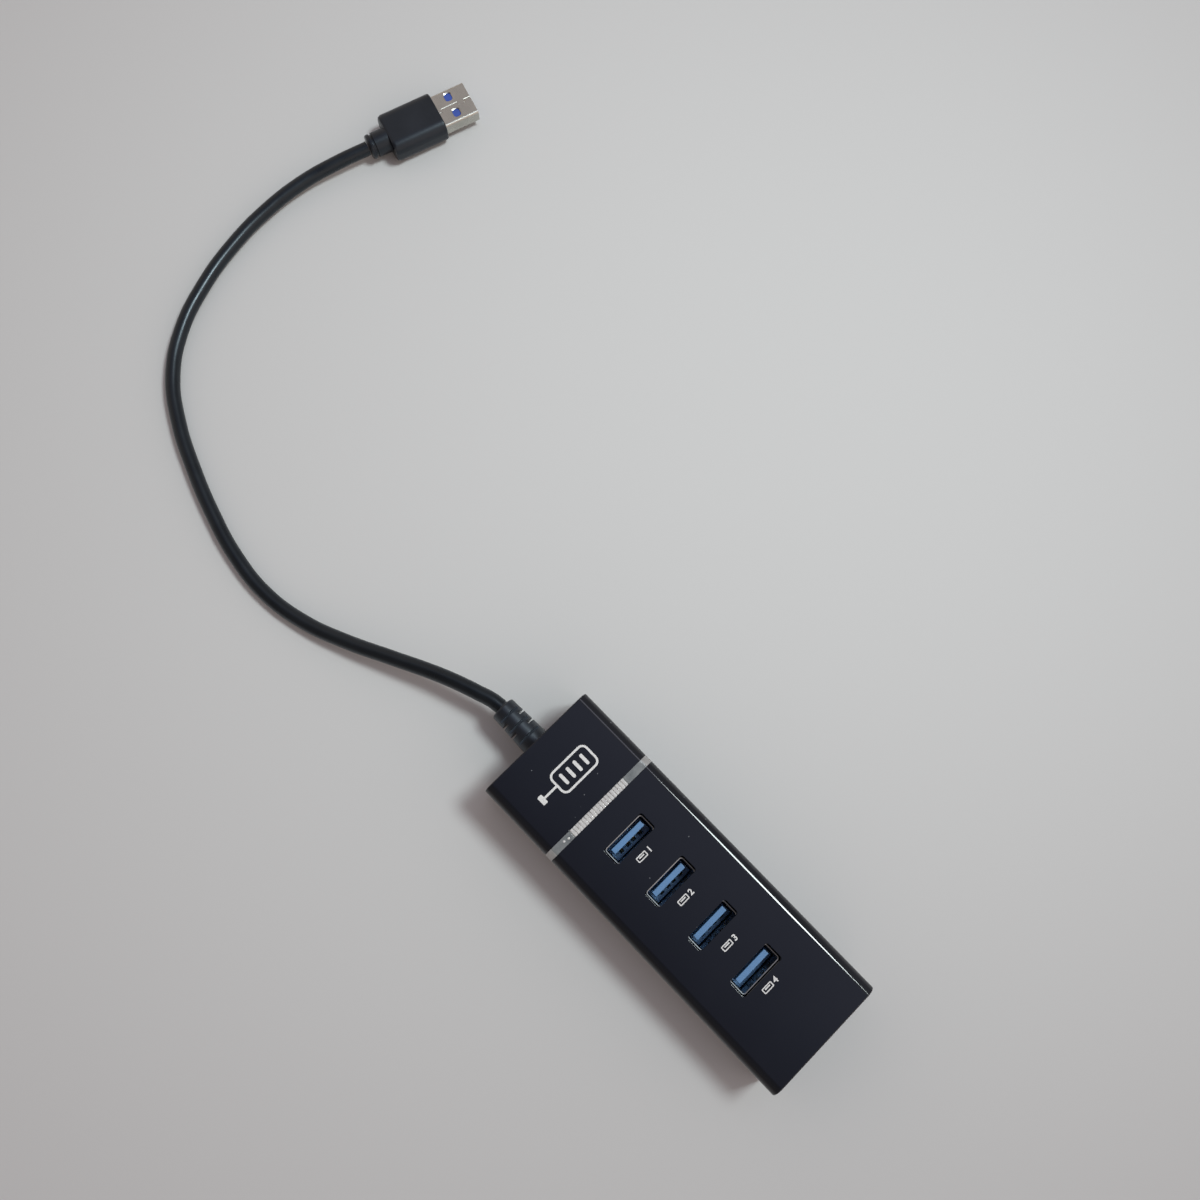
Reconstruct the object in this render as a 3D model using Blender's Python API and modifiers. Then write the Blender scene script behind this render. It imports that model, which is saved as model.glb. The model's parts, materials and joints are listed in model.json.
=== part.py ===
"""A bar-shaped four-port USB 3.0 hub with upright ports and a captive cable.

Metres, +Z up. The origin is under the middle of the case, on the surface that the hub stands on.
+X runs along the case, away from the cable, and +Y runs across it.
"""

import math

import bmesh
import bpy
from mathutils import Matrix, Vector

# Case
CASE_LENGTH = 0.107
CASE_WIDTH = 0.0375
CASE_HEIGHT = 0.0215
WALL = 0.0018
TOP_EDGE_RADIUS = 0.0029  # along the cover's two long edges
BOTTOM_EDGE_RADIUS = 0.002
SEAM_HEIGHT = 0.0106
GAP = 0.0003  # clearance between pieces that touch
LIP_HEIGHT = 0.0016
LIP_THICKNESS = 0.0007
OVERSHOOT = 0.002  # how far a cutter runs past the face that it cuts

# Circuit board and its posts
BOARD_LENGTH = 0.102
BOARD_WIDTH = 0.0326
BOARD_THICKNESS = 0.0016
BOARD_BOTTOM = 0.0034
BOARD_TOP = BOARD_BOTTOM + BOARD_THICKNESS
BOARD_CORNER = 0.0008
POST_X = 0.047
POST_Y = 0.013
POST_RADIUS = 0.0025
PIN_RADIUS = 0.001
PIN_TOP = BOARD_TOP + 0.0008

# Ports
PORT_COUNT = 4
PORT_PITCH = 0.0153
FIRST_PORT_X = -0.01745
SHELL_DEPTH = 0.0056  # along X
SHELL_WIDTH = 0.0135  # along Y
SHELL_SHEET = 0.0003
SHELL_CORNER = 0.0006
SHELL_TOP = CASE_HEIGHT - 0.0016
LEG_WIDTH = 0.0014
LEG_REACH = 0.0006  # how far a leg stands out under the board
TONGUE_THICKNESS = 0.00162
TONGUE_WIDTH = 0.0108
TONGUE_OFFSET = -0.00072  # the tongue stands off the port's middle, towards the cable
TONGUE_TOP = CASE_HEIGHT - 0.0023
HOUSING_HEIGHT = 0.0032
CONTACT_ROWS = (-0.0035, -0.001, 0.001, 0.0035)
CONTACT_WIDTH = 0.001
CONTACT_SHEET = 0.0002
CONTACT_BOW = 0.0006
TONGUE_EDGE_RADIUS = 0.0003
TONGUE_MARGIN = 0.0005  # from the tongue's top to the contacts' ends

# Light strip
STRIP_X = -0.02907
STRIP_WIDTH = 0.0023
STRIP_DEPTH = 0.0011
STRIP_DROP = 0.006  # how far the strip runs down each side
STRIP_WINDOW = 0.020  # the length that goes through the wall
STRIP_BOTTOM = CASE_HEIGHT - 0.0025
LED_Y = 0.005
LED_SIZE = (0.0016, 0.0012, 0.0008)

# Cable, strain relief and plug
CABLE_DIAMETER = 0.0044
RELIEF_LENGTH = 0.0139
RELIEF_TIP_RADIUS = 0.0037
RELIEF_ROOT_RADIUS = 0.00425
RELIEF_SIDE_SLOTS = (0.0051, 0.0086)  # from the tip
RELIEF_TOP_SLOTS = (0.0030, 0.0068, 0.0109)
RELIEF_SLOT_WIDTH = 0.00075
RELIEF_CORE_HALF = 0.0024  # what the slots leave on each side of the middle
RELIEF_NECK_RADIUS = 0.0038
FLANGE_RADIUS = 0.005
FLANGE_THICKNESS = 0.0015
PLUG_YAW = math.radians(73.5)
PLUG_START = (-0.2255, 0.0913, 0.0044)  # where the cable enters the plug's neck
NECK_LENGTH = 0.0068
NECK_RADIUS = 0.0038
GRIP_LENGTH = 0.0175
GRIP_WIDTH = 0.0150
GRIP_THICKNESS = 0.0084
GRIP_EDGE_RADIUS = 0.0026
GRIP_END_RADIUS = 0.0006
NECK_TAPER = 0.0003
PLUG_SHELL_LENGTH = 0.0114
PLUG_SHELL_WIDTH = 0.012
PLUG_SHELL_THICKNESS = 0.0045
PLUG_POCKET = 0.002  # how deep the shell sits in the grip
PLUG_BLOCK_THICKNESS = 0.0016
PLUG_FACE_BACK = 0.0005  # from the shell's mouth to the block's face
PLUG_CONTACT_START = 0.003  # from the block's two ends
PLUG_CONTACT_END = 0.002
WINDOW_SIZE = 0.0026
WINDOW_DISTANCE = 0.0052  # from the grip to a window's middle
WINDOW_Y = 0.0030

# The line that the cable follows, from the strain relief to the plug's neck.
CABLE_ROUTE = [
    (-0.0678, 0.0000, 0.0106),
    (-0.0710, -0.0005, 0.0106),
    (-0.0750, -0.0018, 0.0104),
    (-0.0810, -0.0039, 0.0099),
    (-0.0874, -0.0065, 0.0091),
    (-0.1000, -0.0125, 0.0071),
    (-0.1130, -0.0187, 0.0049),
    (-0.1266, -0.0238, 0.0031),
    (-0.1410, -0.0262, 0.0024),
    (-0.1556, -0.0250, 0.0024),
    (-0.1700, -0.0214, 0.0024),
    (-0.1842, -0.0165, 0.0024),
    (-0.1983, -0.0103, 0.0024),
    (-0.2110, -0.0019, 0.0024),
    (-0.2207, 0.0100, 0.0024),
    (-0.2270, 0.0240, 0.0024),
    (-0.2309, 0.0386, 0.0024),
    (-0.2325, 0.0538, 0.0027),
    (-0.2315, 0.0689, 0.0034),
    (-0.2285, 0.0815, 0.0041),
    (-0.2256, 0.0910, 0.0044),
]
CABLE_SAMPLES = 46

PARTS = "usb_hub"
HELPERS = "usb_hub_cutters"

COLOURS = {  # colour, roughness, metallic
    "gloss_black": ((0.012, 0.012, 0.014), 0.08, 0.0),
    "case_black": ((0.016, 0.016, 0.018), 0.35, 0.0),
    "clear_plastic": ((0.62, 0.63, 0.63), 0.2, 0.0),
    "board_green": ((0.02, 0.10, 0.05), 0.5, 0.0),
    "port_metal": ((0.60, 0.60, 0.58), 0.25, 1.0),
    "port_blue": ((0.05, 0.26, 0.62), 0.4, 0.0),
    "contact_gold": ((0.80, 0.60, 0.26), 0.25, 1.0),
    "chip_black": ((0.03, 0.03, 0.03), 0.6, 0.0),
    "led_white": ((0.85, 0.85, 0.80), 0.3, 0.0),
    "cable_black": ((0.02, 0.02, 0.022), 0.4, 0.0),
    "grip_black": ((0.025, 0.025, 0.03), 0.5, 0.0),
    "wire_red": ((0.55, 0.03, 0.02), 0.45, 0.0),
    "wire_black": ((0.02, 0.02, 0.02), 0.45, 0.0),
    "wire_green": ((0.03, 0.35, 0.08), 0.45, 0.0),
    "wire_white": ((0.75, 0.75, 0.72), 0.45, 0.0),
    "wire_blue": ((0.05, 0.15, 0.50), 0.45, 0.0),
    "wire_orange": ((0.75, 0.28, 0.05), 0.45, 0.0),
}


# --- scene helpers ---------------------------------------------------------------------------------


def clear_scene():
    for obj in list(bpy.data.objects):
        bpy.data.objects.remove(obj)
    for name in (PARTS, HELPERS):
        bpy.context.scene.collection.children.link(bpy.data.collections.new(name))


def material(name):
    """The named material, made once."""
    found = bpy.data.materials.get(name)
    if found:
        return found
    colour, roughness, metallic = COLOURS[name]
    made = bpy.data.materials.new(name)
    made.use_nodes = True
    shader = made.node_tree.nodes["Principled BSDF"]
    shader.inputs["Base Color"].default_value = (*colour, 1.0)
    shader.inputs["Roughness"].default_value = roughness
    shader.inputs["Metallic"].default_value = metallic
    made.diffuse_color = (*colour, 1.0)
    return made


def add_part(name, data, colour, parent=None):
    """A named piece of the hub."""
    obj = bpy.data.objects.new(name, data)
    bpy.data.collections[PARTS].objects.link(obj)
    data.materials.append(material(colour))
    obj.parent = parent
    return obj


def add_helper(name, data, parent=None):
    """A shape that is cut from, or joined to, a piece, and isn't one itself."""
    obj = bpy.data.objects.new(name, data)
    bpy.data.collections[HELPERS].objects.link(obj)
    obj.hide_render = True
    obj.display_type = "WIRE"
    obj.parent = parent
    return obj


def combine(target, helper, operation):
    modifier = target.modifiers.new(helper.name, "BOOLEAN")
    modifier.operation = operation
    modifier.object = helper
    modifier.solver = "EXACT"


def cut(target, name, data):
    combine(target, add_helper(f"{target.name}_{name}", data, target.parent), "DIFFERENCE")


def join(target, name, data):
    combine(target, add_helper(f"{target.name}_{name}", data, target.parent), "UNION")


# --- mesh helpers ----------------------------------------------------------------------------------


def mesh_from(bm, name):
    data = bpy.data.meshes.new(name)
    bm.to_mesh(data)
    bm.free()
    return data


def runs_along(edge, axis):
    """Whether an edge is parallel to X, Y or Z (0, 1 or 2)."""
    direction = (edge.verts[0].co - edge.verts[1].co).normalized()
    return abs(direction[axis]) > 0.99


def box(name, low, high, rounded=()):
    """A box between two corners. rounded lists (axis, radius, segments, test), where test picks edges."""
    low, high = Vector(low), Vector(high)
    bm = bmesh.new()
    placing = Matrix.Translation((low + high) / 2) @ Matrix.Diagonal((*(high - low), 1.0))
    bmesh.ops.create_cube(bm, size=1.0, matrix=placing)
    for axis, radius, segments, test in rounded:
        edges = [e for e in bm.edges if runs_along(e, axis) and test((e.verts[0].co + e.verts[1].co) / 2)]
        bmesh.ops.bevel(bm, geom=edges, offset=radius, segments=segments, profile=0.5, affect="EDGES")
    return mesh_from(bm, name)


def every_edge(_middle):
    return True


def rod(name, start, end, radius, segments=24, end_radius=None):
    """A cylinder, or a cone where end_radius is given, between two points."""
    start, end = Vector(start), Vector(end)
    along = end - start
    turn = along.to_track_quat("Z", "Y").to_matrix().to_4x4()
    bm = bmesh.new()
    bmesh.ops.create_cone(
        bm,
        cap_ends=True,
        segments=segments,
        radius1=radius,
        radius2=radius if end_radius is None else end_radius,
        depth=along.length,
        matrix=Matrix.Translation((start + end) / 2) @ turn,
    )
    data = mesh_from(bm, name)
    smooth(data)
    return data


def smooth(data, angle=math.radians(35)):
    data.shade_smooth()
    data.set_sharp_from_angle(angle=angle)


def turned_profile(name, profile, steps=28):
    """A mesh of one open profile of (radius, height) points, and the Screw settings that turn it."""
    data = bpy.data.meshes.new(name)
    points = [(radius, 0.0, height) for radius, height in profile]
    data.from_pydata(points, [(i, i + 1) for i in range(len(points) - 1)], [])
    return data, steps


def turn_round(obj, steps):
    screw = obj.modifiers.new("turn", "SCREW")
    screw.angle = math.tau
    screw.steps = screw.render_steps = steps
    screw.use_merge_vertices = True
    screw.merge_threshold = 0.00001


def outline(name, points, thickness):
    """A flat outline in the curve's own XY plane, made solid."""
    data = bpy.data.curves.new(name, "CURVE")
    data.dimensions = "2D"
    data.fill_mode = "BOTH"
    data.extrude = thickness / 2
    spline = data.splines.new("POLY")
    spline.points.add(len(points) - 1)
    for point, (x, y) in zip(spline.points, points):
        point.co = (x, y, 0.0, 1.0)
    spline.use_cyclic_u = True
    return data


def tube(name, points, radius, resolution=2):
    data = bpy.data.curves.new(name, "CURVE")
    data.dimensions = "3D"
    data.bevel_depth = radius
    data.bevel_resolution = resolution
    data.use_fill_caps = True
    spline = data.splines.new("POLY")
    spline.points.add(len(points) - 1)
    for point, place in zip(spline.points, points):
        point.co = (*place, 1.0)
    spline.use_smooth = True
    return data


def curve_through(points, samples):
    """Evenly counted samples of a Catmull-Rom curve through the points."""
    points = [Vector(p) for p in points]
    padded = [2 * points[0] - points[1], *points, 2 * points[-1] - points[-2]]
    spans = len(points) - 1
    made = []
    for i in range(samples):
        place = spans * i / (samples - 1)
        span = min(int(place), spans - 1)
        t = place - span
        a, b, c, d = padded[span : span + 4]
        made.append(
            0.5 * (2 * b + (c - a) * t + (2 * a - 5 * b + 4 * c - d) * t**2 + (3 * b - a - 3 * c + d) * t**3)
        )
    return made


# --- case ------------------------------------------------------------------------------------------


def case_half(name, low_z, high_z, rounded_side):
    """Half of the case's outer shape. rounded_side is 1 where its long edges are rounded at the top, else -1."""
    half_x, half_y = CASE_LENGTH / 2, CASE_WIDTH / 2
    middle = (low_z + high_z) / 2
    radius = TOP_EDGE_RADIUS if rounded_side > 0 else BOTTOM_EDGE_RADIUS
    rounded = [(0, radius, 6, lambda p: (p.z - middle) * rounded_side > 0)]
    return box(name, (-half_x, -half_y, low_z), (half_x, half_y, high_z), rounded)


def inner_box(name, inset, low_z, high_z):
    half_x, half_y = CASE_LENGTH / 2 - inset, CASE_WIDTH / 2 - inset
    return box(name, (-half_x, -half_y, low_z), (half_x, half_y, high_z))


def post_places():
    return [(x, y) for x in (-POST_X, POST_X) for y in (-POST_Y, POST_Y)]


def relief_hole(name):
    end = -CASE_LENGTH / 2
    radius = RELIEF_NECK_RADIUS + GAP
    return rod(name, (end - OVERSHOOT, 0, SEAM_HEIGHT), (end + WALL + OVERSHOOT, 0, SEAM_HEIGHT), radius, 32)


def make_bottom_case():
    top = SEAM_HEIGHT - GAP / 2
    case = add_part("bottom_case", case_half("bottom_case", 0.0, top, -1), "case_black")
    cut(case, "hollow", inner_box("hollow", WALL, WALL, top + OVERSHOOT))
    join(case, "lip", inner_box("lip", WALL - LIP_THICKNESS, top - LIP_HEIGHT, top + LIP_HEIGHT))
    cut(case, "lip_inside", inner_box("lip_inside", WALL, WALL, top + LIP_HEIGHT + OVERSHOOT))
    for i, (x, y) in enumerate(post_places()):
        join(case, f"post_{i}", rod("post", (x, y, WALL / 2), (x, y, BOARD_BOTTOM - GAP), POST_RADIUS, 20))
        join(case, f"pin_{i}", rod("pin", (x, y, WALL), (x, y, PIN_TOP), PIN_RADIUS, 12))
    cut(case, "relief_hole", relief_hole("relief_hole"))
    cut(case, "flange_room", flange_room("flange_room"))


def flange_room(name):
    """Space for the strain relief's flange where the lip would meet it."""
    start = -CASE_LENGTH / 2 + WALL - LIP_THICKNESS - GAP
    reach = FLANGE_RADIUS + GAP
    low = (start, -reach, SEAM_HEIGHT - GAP / 2)
    return box(name, low, (start + LIP_THICKNESS + OVERSHOOT, reach, SEAM_HEIGHT + reach))


def make_top_cover():
    bottom = SEAM_HEIGHT + GAP / 2
    cover = add_part("top_cover", case_half("top_cover", bottom, CASE_HEIGHT, 1), "gloss_black")
    cut(cover, "hollow", inner_box("hollow", WALL, bottom - OVERSHOOT, CASE_HEIGHT - WALL))
    rebate = WALL - LIP_THICKNESS - GAP
    cut(cover, "rebate", inner_box("rebate", rebate, bottom - OVERSHOOT, bottom + LIP_HEIGHT + GAP))
    for i, (x, y) in enumerate(post_places()):
        post = rod("post", (x, y, PIN_TOP + GAP), (x, y, CASE_HEIGHT - WALL / 2), POST_RADIUS, 20)
        join(cover, f"post_{i}", post)
    for number, x in enumerate(port_places(), 1):
        half_x, half_y = SHELL_DEPTH / 2 + GAP, SHELL_WIDTH / 2 + GAP
        low = (x - half_x, -half_y, CASE_HEIGHT - WALL - OVERSHOOT)
        rounded = [(2, SHELL_CORNER + GAP, 3, every_edge)]
        hole = box("port_hole", low, (x + half_x, half_y, CASE_HEIGHT + OVERSHOOT), rounded)
        cut(cover, f"port_hole_{number}", hole)
    cut_strip_groove(cover)
    cut(cover, "relief_hole", relief_hole("relief_hole"))


def cut_strip_groove(cover):
    """The groove runs over the top and down both sides, around a core that keeps the wall's rounded edges."""
    half_x = STRIP_WIDTH / 2 + GAP
    depth = STRIP_DEPTH + GAP
    side = CASE_WIDTH / 2
    left, right = STRIP_X - half_x, STRIP_X + half_x
    top, low_z = CASE_HEIGHT + OVERSHOOT, CASE_HEIGHT - STRIP_DROP - GAP
    reach = side + OVERSHOOT
    groove = add_helper("groove", box("groove", (left, -reach, low_z), (right, reach, top)))
    cut(groove, "core", strip_core("core", depth, low_z - OVERSHOOT, half_x + OVERSHOOT))
    combine(cover, groove, "DIFFERENCE")
    window = STRIP_WINDOW / 2 + GAP
    low = (left, -window, CASE_HEIGHT - WALL - OVERSHOOT)
    cut(cover, "groove_window", box("window", low, (right, window, top)))


def strip_core(name, depth, low_z, half_x):
    """What lies inside the strip: the cover's cross-section, inset by a depth."""
    reach, top = CASE_WIDTH / 2 - depth, CASE_HEIGHT - depth
    rounded = [(0, TOP_EDGE_RADIUS - depth, 6, lambda p: p.z > top - 1e-5)]
    return box(name, (STRIP_X - half_x, -reach, low_z), (STRIP_X + half_x, reach, top), rounded)


def make_light_guide():
    """The strip follows the cover's outside, and has a thick middle and a leg above each lamp."""
    half_x = STRIP_WIDTH / 2
    left, right = STRIP_X - half_x, STRIP_X + half_x
    low_z = CASE_HEIGHT - STRIP_DROP
    reach = CASE_WIDTH / 2
    slab = box(
        "light_guide",
        (left, -reach, low_z),
        (right, reach, CASE_HEIGHT),
        [(0, TOP_EDGE_RADIUS, 6, lambda p: p.z > CASE_HEIGHT - 1e-5)],
    )
    guide = add_part("light_guide", slab, "clear_plastic")
    cut(guide, "inside", strip_core("inside", STRIP_DEPTH, low_z - OVERSHOOT, half_x + OVERSHOOT))
    window = STRIP_WINDOW / 2
    middle = box("middle", (left, -window, STRIP_BOTTOM), (right, window, CASE_HEIGHT - STRIP_DEPTH / 2))
    join(guide, "middle", middle)
    leg_x, leg_y = 0.0009, 0.0015
    leg_bottom = BOARD_TOP + GAP + LED_SIZE[2] + 2 * GAP
    for number, y in enumerate((-LED_Y, LED_Y), 1):
        low = (STRIP_X - leg_x, y - leg_y, leg_bottom)
        leg = box("leg", low, (STRIP_X + leg_x, y + leg_y, STRIP_BOTTOM + STRIP_DEPTH))
        join(guide, f"leg_{number}", leg)


# --- board and what is on it -----------------------------------------------------------------------


def make_board():
    half_x, half_y = BOARD_LENGTH / 2, BOARD_WIDTH / 2
    rounded = [(2, BOARD_CORNER, 2, every_edge)]
    shape = box("circuit_board", (-half_x, -half_y, BOARD_BOTTOM), (half_x, half_y, BOARD_TOP), rounded)
    board = add_part("circuit_board", shape, "board_green")
    low_z, high_z = BOARD_BOTTOM - OVERSHOOT, BOARD_TOP + OVERSHOOT
    for i, (x, y) in enumerate(post_places()):
        cut(board, f"post_hole_{i}", rod("post_hole", (x, y, low_z), (x, y, high_z), PIN_RADIUS + GAP, 16))
    for number, x in enumerate(port_places(), 1):
        for side in (-1, 1):
            middle_y = side * (SHELL_WIDTH - SHELL_SHEET) / 2
            half_slot_x, half_slot_y = LEG_WIDTH / 2 + GAP, SHELL_SHEET / 2 + GAP
            low = (x - half_slot_x, middle_y - half_slot_y, low_z)
            slot = box("leg_slot", low, (x + half_slot_x, middle_y + half_slot_y, high_z))
            cut(board, f"leg_slot_{number}_{side + 1}", slot)


def on_board(name, middle, size, colour, corner=0.0001):
    """A flat component that stands on the board."""
    (x, y), (length, width, height) = middle, size
    low_z = BOARD_TOP + GAP
    low = (x - length / 2, y - width / 2, low_z)
    rounded = [(2, corner, 2, every_edge)]
    shape = box(name, low, (x + length / 2, y + width / 2, low_z + height), rounded)
    return add_part(name, shape, colour)


def make_capacitor(name, x, y):
    """A can on a square foot, with the groove of its rolled rim."""
    radius, height, foot = 0.00315, 0.0056, 0.0012
    data, steps = turned_profile(
        name,
        [
            (0.0, height),
            (radius - 0.0003, height),
            (radius, height - 0.0003),
            (radius, foot + 0.0010),
            (radius - 0.0003, foot + 0.0007),
            (radius, foot + 0.0004),
            (radius, 0.0),
            (0.0, 0.0),
        ],
        24,
    )
    capacitor = add_part(name, data, "port_metal")
    capacitor.location = (x, y, BOARD_TOP + GAP)
    turn_round(capacitor, steps)


def make_board_components():
    on_board("hub_controller", (-0.0355, 0.0), (0.009, 0.009, 0.0009), "chip_black")
    on_board("crystal", (-0.0250, 0.0090), (0.0032, 0.0025, 0.0008), "port_metal", 0.0004)
    on_board("voltage_regulator", (-0.0250, -0.0090), (0.0035, 0.0065, 0.0016), "chip_black")
    make_capacitor("capacitor_1", -0.0375, -0.0112)
    make_capacitor("capacitor_2", -0.0375, 0.0112)
    for number, y in enumerate((-LED_Y, LED_Y), 1):
        on_board(f"status_led_{number}", (STRIP_X, y), LED_SIZE, "led_white")
    for number, x in enumerate(port_places(), 1):
        place = (x + PORT_PITCH / 2, 0.0105)
        on_board(f"port_{number}_fuse", place, (0.0032, 0.0045, 0.0010), "wire_green", 0.0003)


# --- ports -----------------------------------------------------------------------------------------


def port_places():
    return [FIRST_PORT_X + PORT_PITCH * i for i in range(PORT_COUNT)]


def make_port_shell(name, x):
    """A folded metal sleeve, open at the top, with a leg through the board on each narrow side."""
    half_x, half_y = SHELL_DEPTH / 2, SHELL_WIDTH / 2
    bottom = BOARD_TOP + GAP
    rounded = [(2, SHELL_CORNER, 3, every_edge)]
    shape = box(name, (x - half_x, -half_y, bottom), (x + half_x, half_y, SHELL_TOP), rounded)
    shell = add_part(name, shape, "port_metal")
    inner_x, inner_y = half_x - SHELL_SHEET, half_y - SHELL_SHEET
    low = (x - inner_x, -inner_y, bottom - OVERSHOOT)
    inner_rounded = [(2, SHELL_CORNER - SHELL_SHEET, 3, every_edge)]
    hollow = box("hollow", low, (x + inner_x, inner_y, SHELL_TOP + OVERSHOOT), inner_rounded)
    cut(shell, "hollow", hollow)
    leg_bottom = BOARD_BOTTOM - LEG_REACH
    for side in (-1, 1):
        edges = sorted((side * half_y, side * inner_y))
        low = (x - LEG_WIDTH / 2, edges[0], leg_bottom)
        leg = box("leg", low, (x + LEG_WIDTH / 2, edges[1], bottom + OVERSHOOT))
        join(shell, f"leg_{side + 1}", leg)


def make_port_insulator(name, x):
    """The housing at the sleeve's foot, with the tongue that stands up from it."""
    half_x = SHELL_DEPTH / 2 - SHELL_SHEET - GAP
    half_y = SHELL_WIDTH / 2 - SHELL_SHEET - GAP
    bottom = BOARD_TOP + GAP
    housing_top = bottom + HOUSING_HEIGHT
    shape = box(name, (x - half_x, -half_y, bottom), (x + half_x, half_y, housing_top))
    insulator = add_part(name, shape, "port_blue")
    middle = x + TONGUE_OFFSET
    low = (middle - TONGUE_THICKNESS / 2, -TONGUE_WIDTH / 2, bottom + HOUSING_HEIGHT / 2)
    high = (middle + TONGUE_THICKNESS / 2, TONGUE_WIDTH / 2, TONGUE_TOP)
    rounded = [(1, TONGUE_EDGE_RADIUS, 2, lambda p: p.z > TONGUE_TOP - 1e-5)]
    join(insulator, "tongue", box("tongue", low, high, rounded))


def make_port_contact(name, x, y):
    """A bowed spring leaf beside the tongue's far face."""
    face = x + TONGUE_OFFSET + TONGUE_THICKNESS / 2
    low_z = BOARD_TOP + HOUSING_HEIGHT + 3 * GAP
    length = TONGUE_TOP - TONGUE_MARGIN - low_z
    steps = 7
    inner = []
    for i in range(steps):
        share = i / (steps - 1)
        inner.append((GAP + CONTACT_BOW * math.sin(math.pi * share), low_z + length * share))
    outer = [(out + CONTACT_SHEET, height) for out, height in reversed(inner)]
    contact = add_part(name, outline(name, inner + outer, CONTACT_WIDTH), "contact_gold")
    contact.location = (face, y, 0.0)
    contact.rotation_euler = (math.pi / 2, 0.0, 0.0)


def make_ports():
    for number, x in enumerate(port_places(), 1):
        make_port_shell(f"port_{number}_shell", x)
        make_port_insulator(f"port_{number}_insulator", x)
        for row, y in enumerate(CONTACT_ROWS, 1):
            make_port_contact(f"port_{number}_contact_{row}", x, y)


# --- cable -----------------------------------------------------------------------------------------


def relief_profile():
    """(radius, distance from the case's end) points, from the cable's side into the case."""
    inside = -(WALL + GAP)
    return [
        (0.0, RELIEF_LENGTH),
        (RELIEF_TIP_RADIUS - 0.0004, RELIEF_LENGTH),
        (RELIEF_TIP_RADIUS, RELIEF_LENGTH - 0.0004),
        (RELIEF_ROOT_RADIUS, GAP),
        (RELIEF_NECK_RADIUS, GAP),
        (RELIEF_NECK_RADIUS, inside),
        (FLANGE_RADIUS, inside),
        (FLANGE_RADIUS, inside - FLANGE_THICKNESS),
        (0.0, inside - FLANGE_THICKNESS),
    ]


def make_strain_relief():
    """A tapered sleeve whose slots alternate between its sides and its top and bottom."""
    data, steps = turned_profile("strain_relief", relief_profile(), 28)
    relief = add_part("strain_relief", data, "grip_black")
    relief.location = (-CASE_LENGTH / 2, 0.0, SEAM_HEIGHT)
    relief.rotation_euler = (0.0, -math.pi / 2, 0.0)
    turn_round(relief, steps)
    tip = -CASE_LENGTH / 2 - RELIEF_LENGTH
    reach = RELIEF_ROOT_RADIUS + OVERSHOOT
    for slots, axis in ((RELIEF_SIDE_SLOTS, 1), (RELIEF_TOP_SLOTS, 2)):
        for number, distance in enumerate(slots, 1):
            for side in (-1, 1):
                low = [tip + distance - RELIEF_SLOT_WIDTH / 2, -reach, -reach]
                high = [tip + distance + RELIEF_SLOT_WIDTH / 2, reach, reach]
                low[axis], high[axis] = sorted((side * RELIEF_CORE_HALF, side * reach))
                low[2] += SEAM_HEIGHT
                high[2] += SEAM_HEIGHT
                cut(relief, f"slot_{axis}_{number}_{side + 1}", box("slot", low, high))


def make_cable():
    line = curve_through(CABLE_ROUTE, CABLE_SAMPLES)
    add_part("cable", tube("cable", line, CABLE_DIAMETER / 2, 3), "cable_black")


def make_wires():
    """The cable's cores fan out from the strain relief to two rows of pads on the board."""
    start_x = -CASE_LENGTH / 2 + WALL + FLANGE_THICKNESS + 2 * GAP
    wires = [  # name, colour, radius, row (0 lower, 1 upper), column
        ("wire_ground", "wire_black", 0.0006, 0, -1),
        ("wire_data_minus", "wire_white", 0.0005, 0, 0),
        ("wire_power", "wire_red", 0.0006, 0, 1),
        ("wire_pair_receive", "wire_blue", 0.0008, 1, -1),
        ("wire_data_plus", "wire_green", 0.0005, 1, 0),
        ("wire_pair_transmit", "wire_orange", 0.0008, 1, 1),
    ]
    for name, colour, radius, row, column in wires:
        start = Vector((start_x, 0.0022 * column, SEAM_HEIGHT + 0.0026 * row - 0.0013))
        end = Vector((-0.0458 + 0.0040 * row, 0.0045 * column, BOARD_TOP + GAP + radius))
        points = []
        count = 9
        for i in range(count):
            share = i / (count - 1)
            eased = share * share * (3 - 2 * share)
            points.append(
                (
                    start.x + (end.x - start.x) * share,
                    start.y + (end.y - start.y) * eased,
                    start.z + (end.z - start.z) * eased,
                )
            )
        add_part(name, tube(name, points, radius), colour)


# --- plug ------------------------------------------------------------------------------------------


def make_plug_frame():
    """The plug's own frame: +X from the neck to the shell's mouth."""
    frame = bpy.data.objects.new("plug_frame", None)
    bpy.data.collections[HELPERS].objects.link(frame)
    frame.location = PLUG_START
    frame.rotation_euler = (0.0, 0.0, PLUG_YAW)
    return frame


def make_plug_overmold(frame):
    start, end = NECK_LENGTH, NECK_LENGTH + GRIP_LENGTH
    half_y, half_z = GRIP_WIDTH / 2, GRIP_THICKNESS / 2
    rounded = [
        (0, GRIP_EDGE_RADIUS, 5, every_edge),
        (1, GRIP_END_RADIUS, 2, every_edge),
    ]
    shape = box("plug_overmold", (start, -half_y, -half_z), (end, half_y, half_z), rounded)
    grip = add_part("plug_overmold", shape, "grip_black", frame)
    neck = rod("neck", (0, 0, 0), (start + OVERSHOOT, 0, 0), NECK_RADIUS - NECK_TAPER, 24, NECK_RADIUS)
    join(grip, "neck", neck)
    pocket_y, pocket_z = PLUG_SHELL_WIDTH / 2 + GAP, PLUG_SHELL_THICKNESS / 2 + GAP
    low = (end - PLUG_POCKET - GAP, -pocket_y, -pocket_z)
    cut(grip, "pocket", box("pocket", low, (end + OVERSHOOT, pocket_y, pocket_z)))


def plug_shell_ends():
    start = NECK_LENGTH + GRIP_LENGTH - PLUG_POCKET
    return start, start + PLUG_POCKET + PLUG_SHELL_LENGTH


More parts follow.
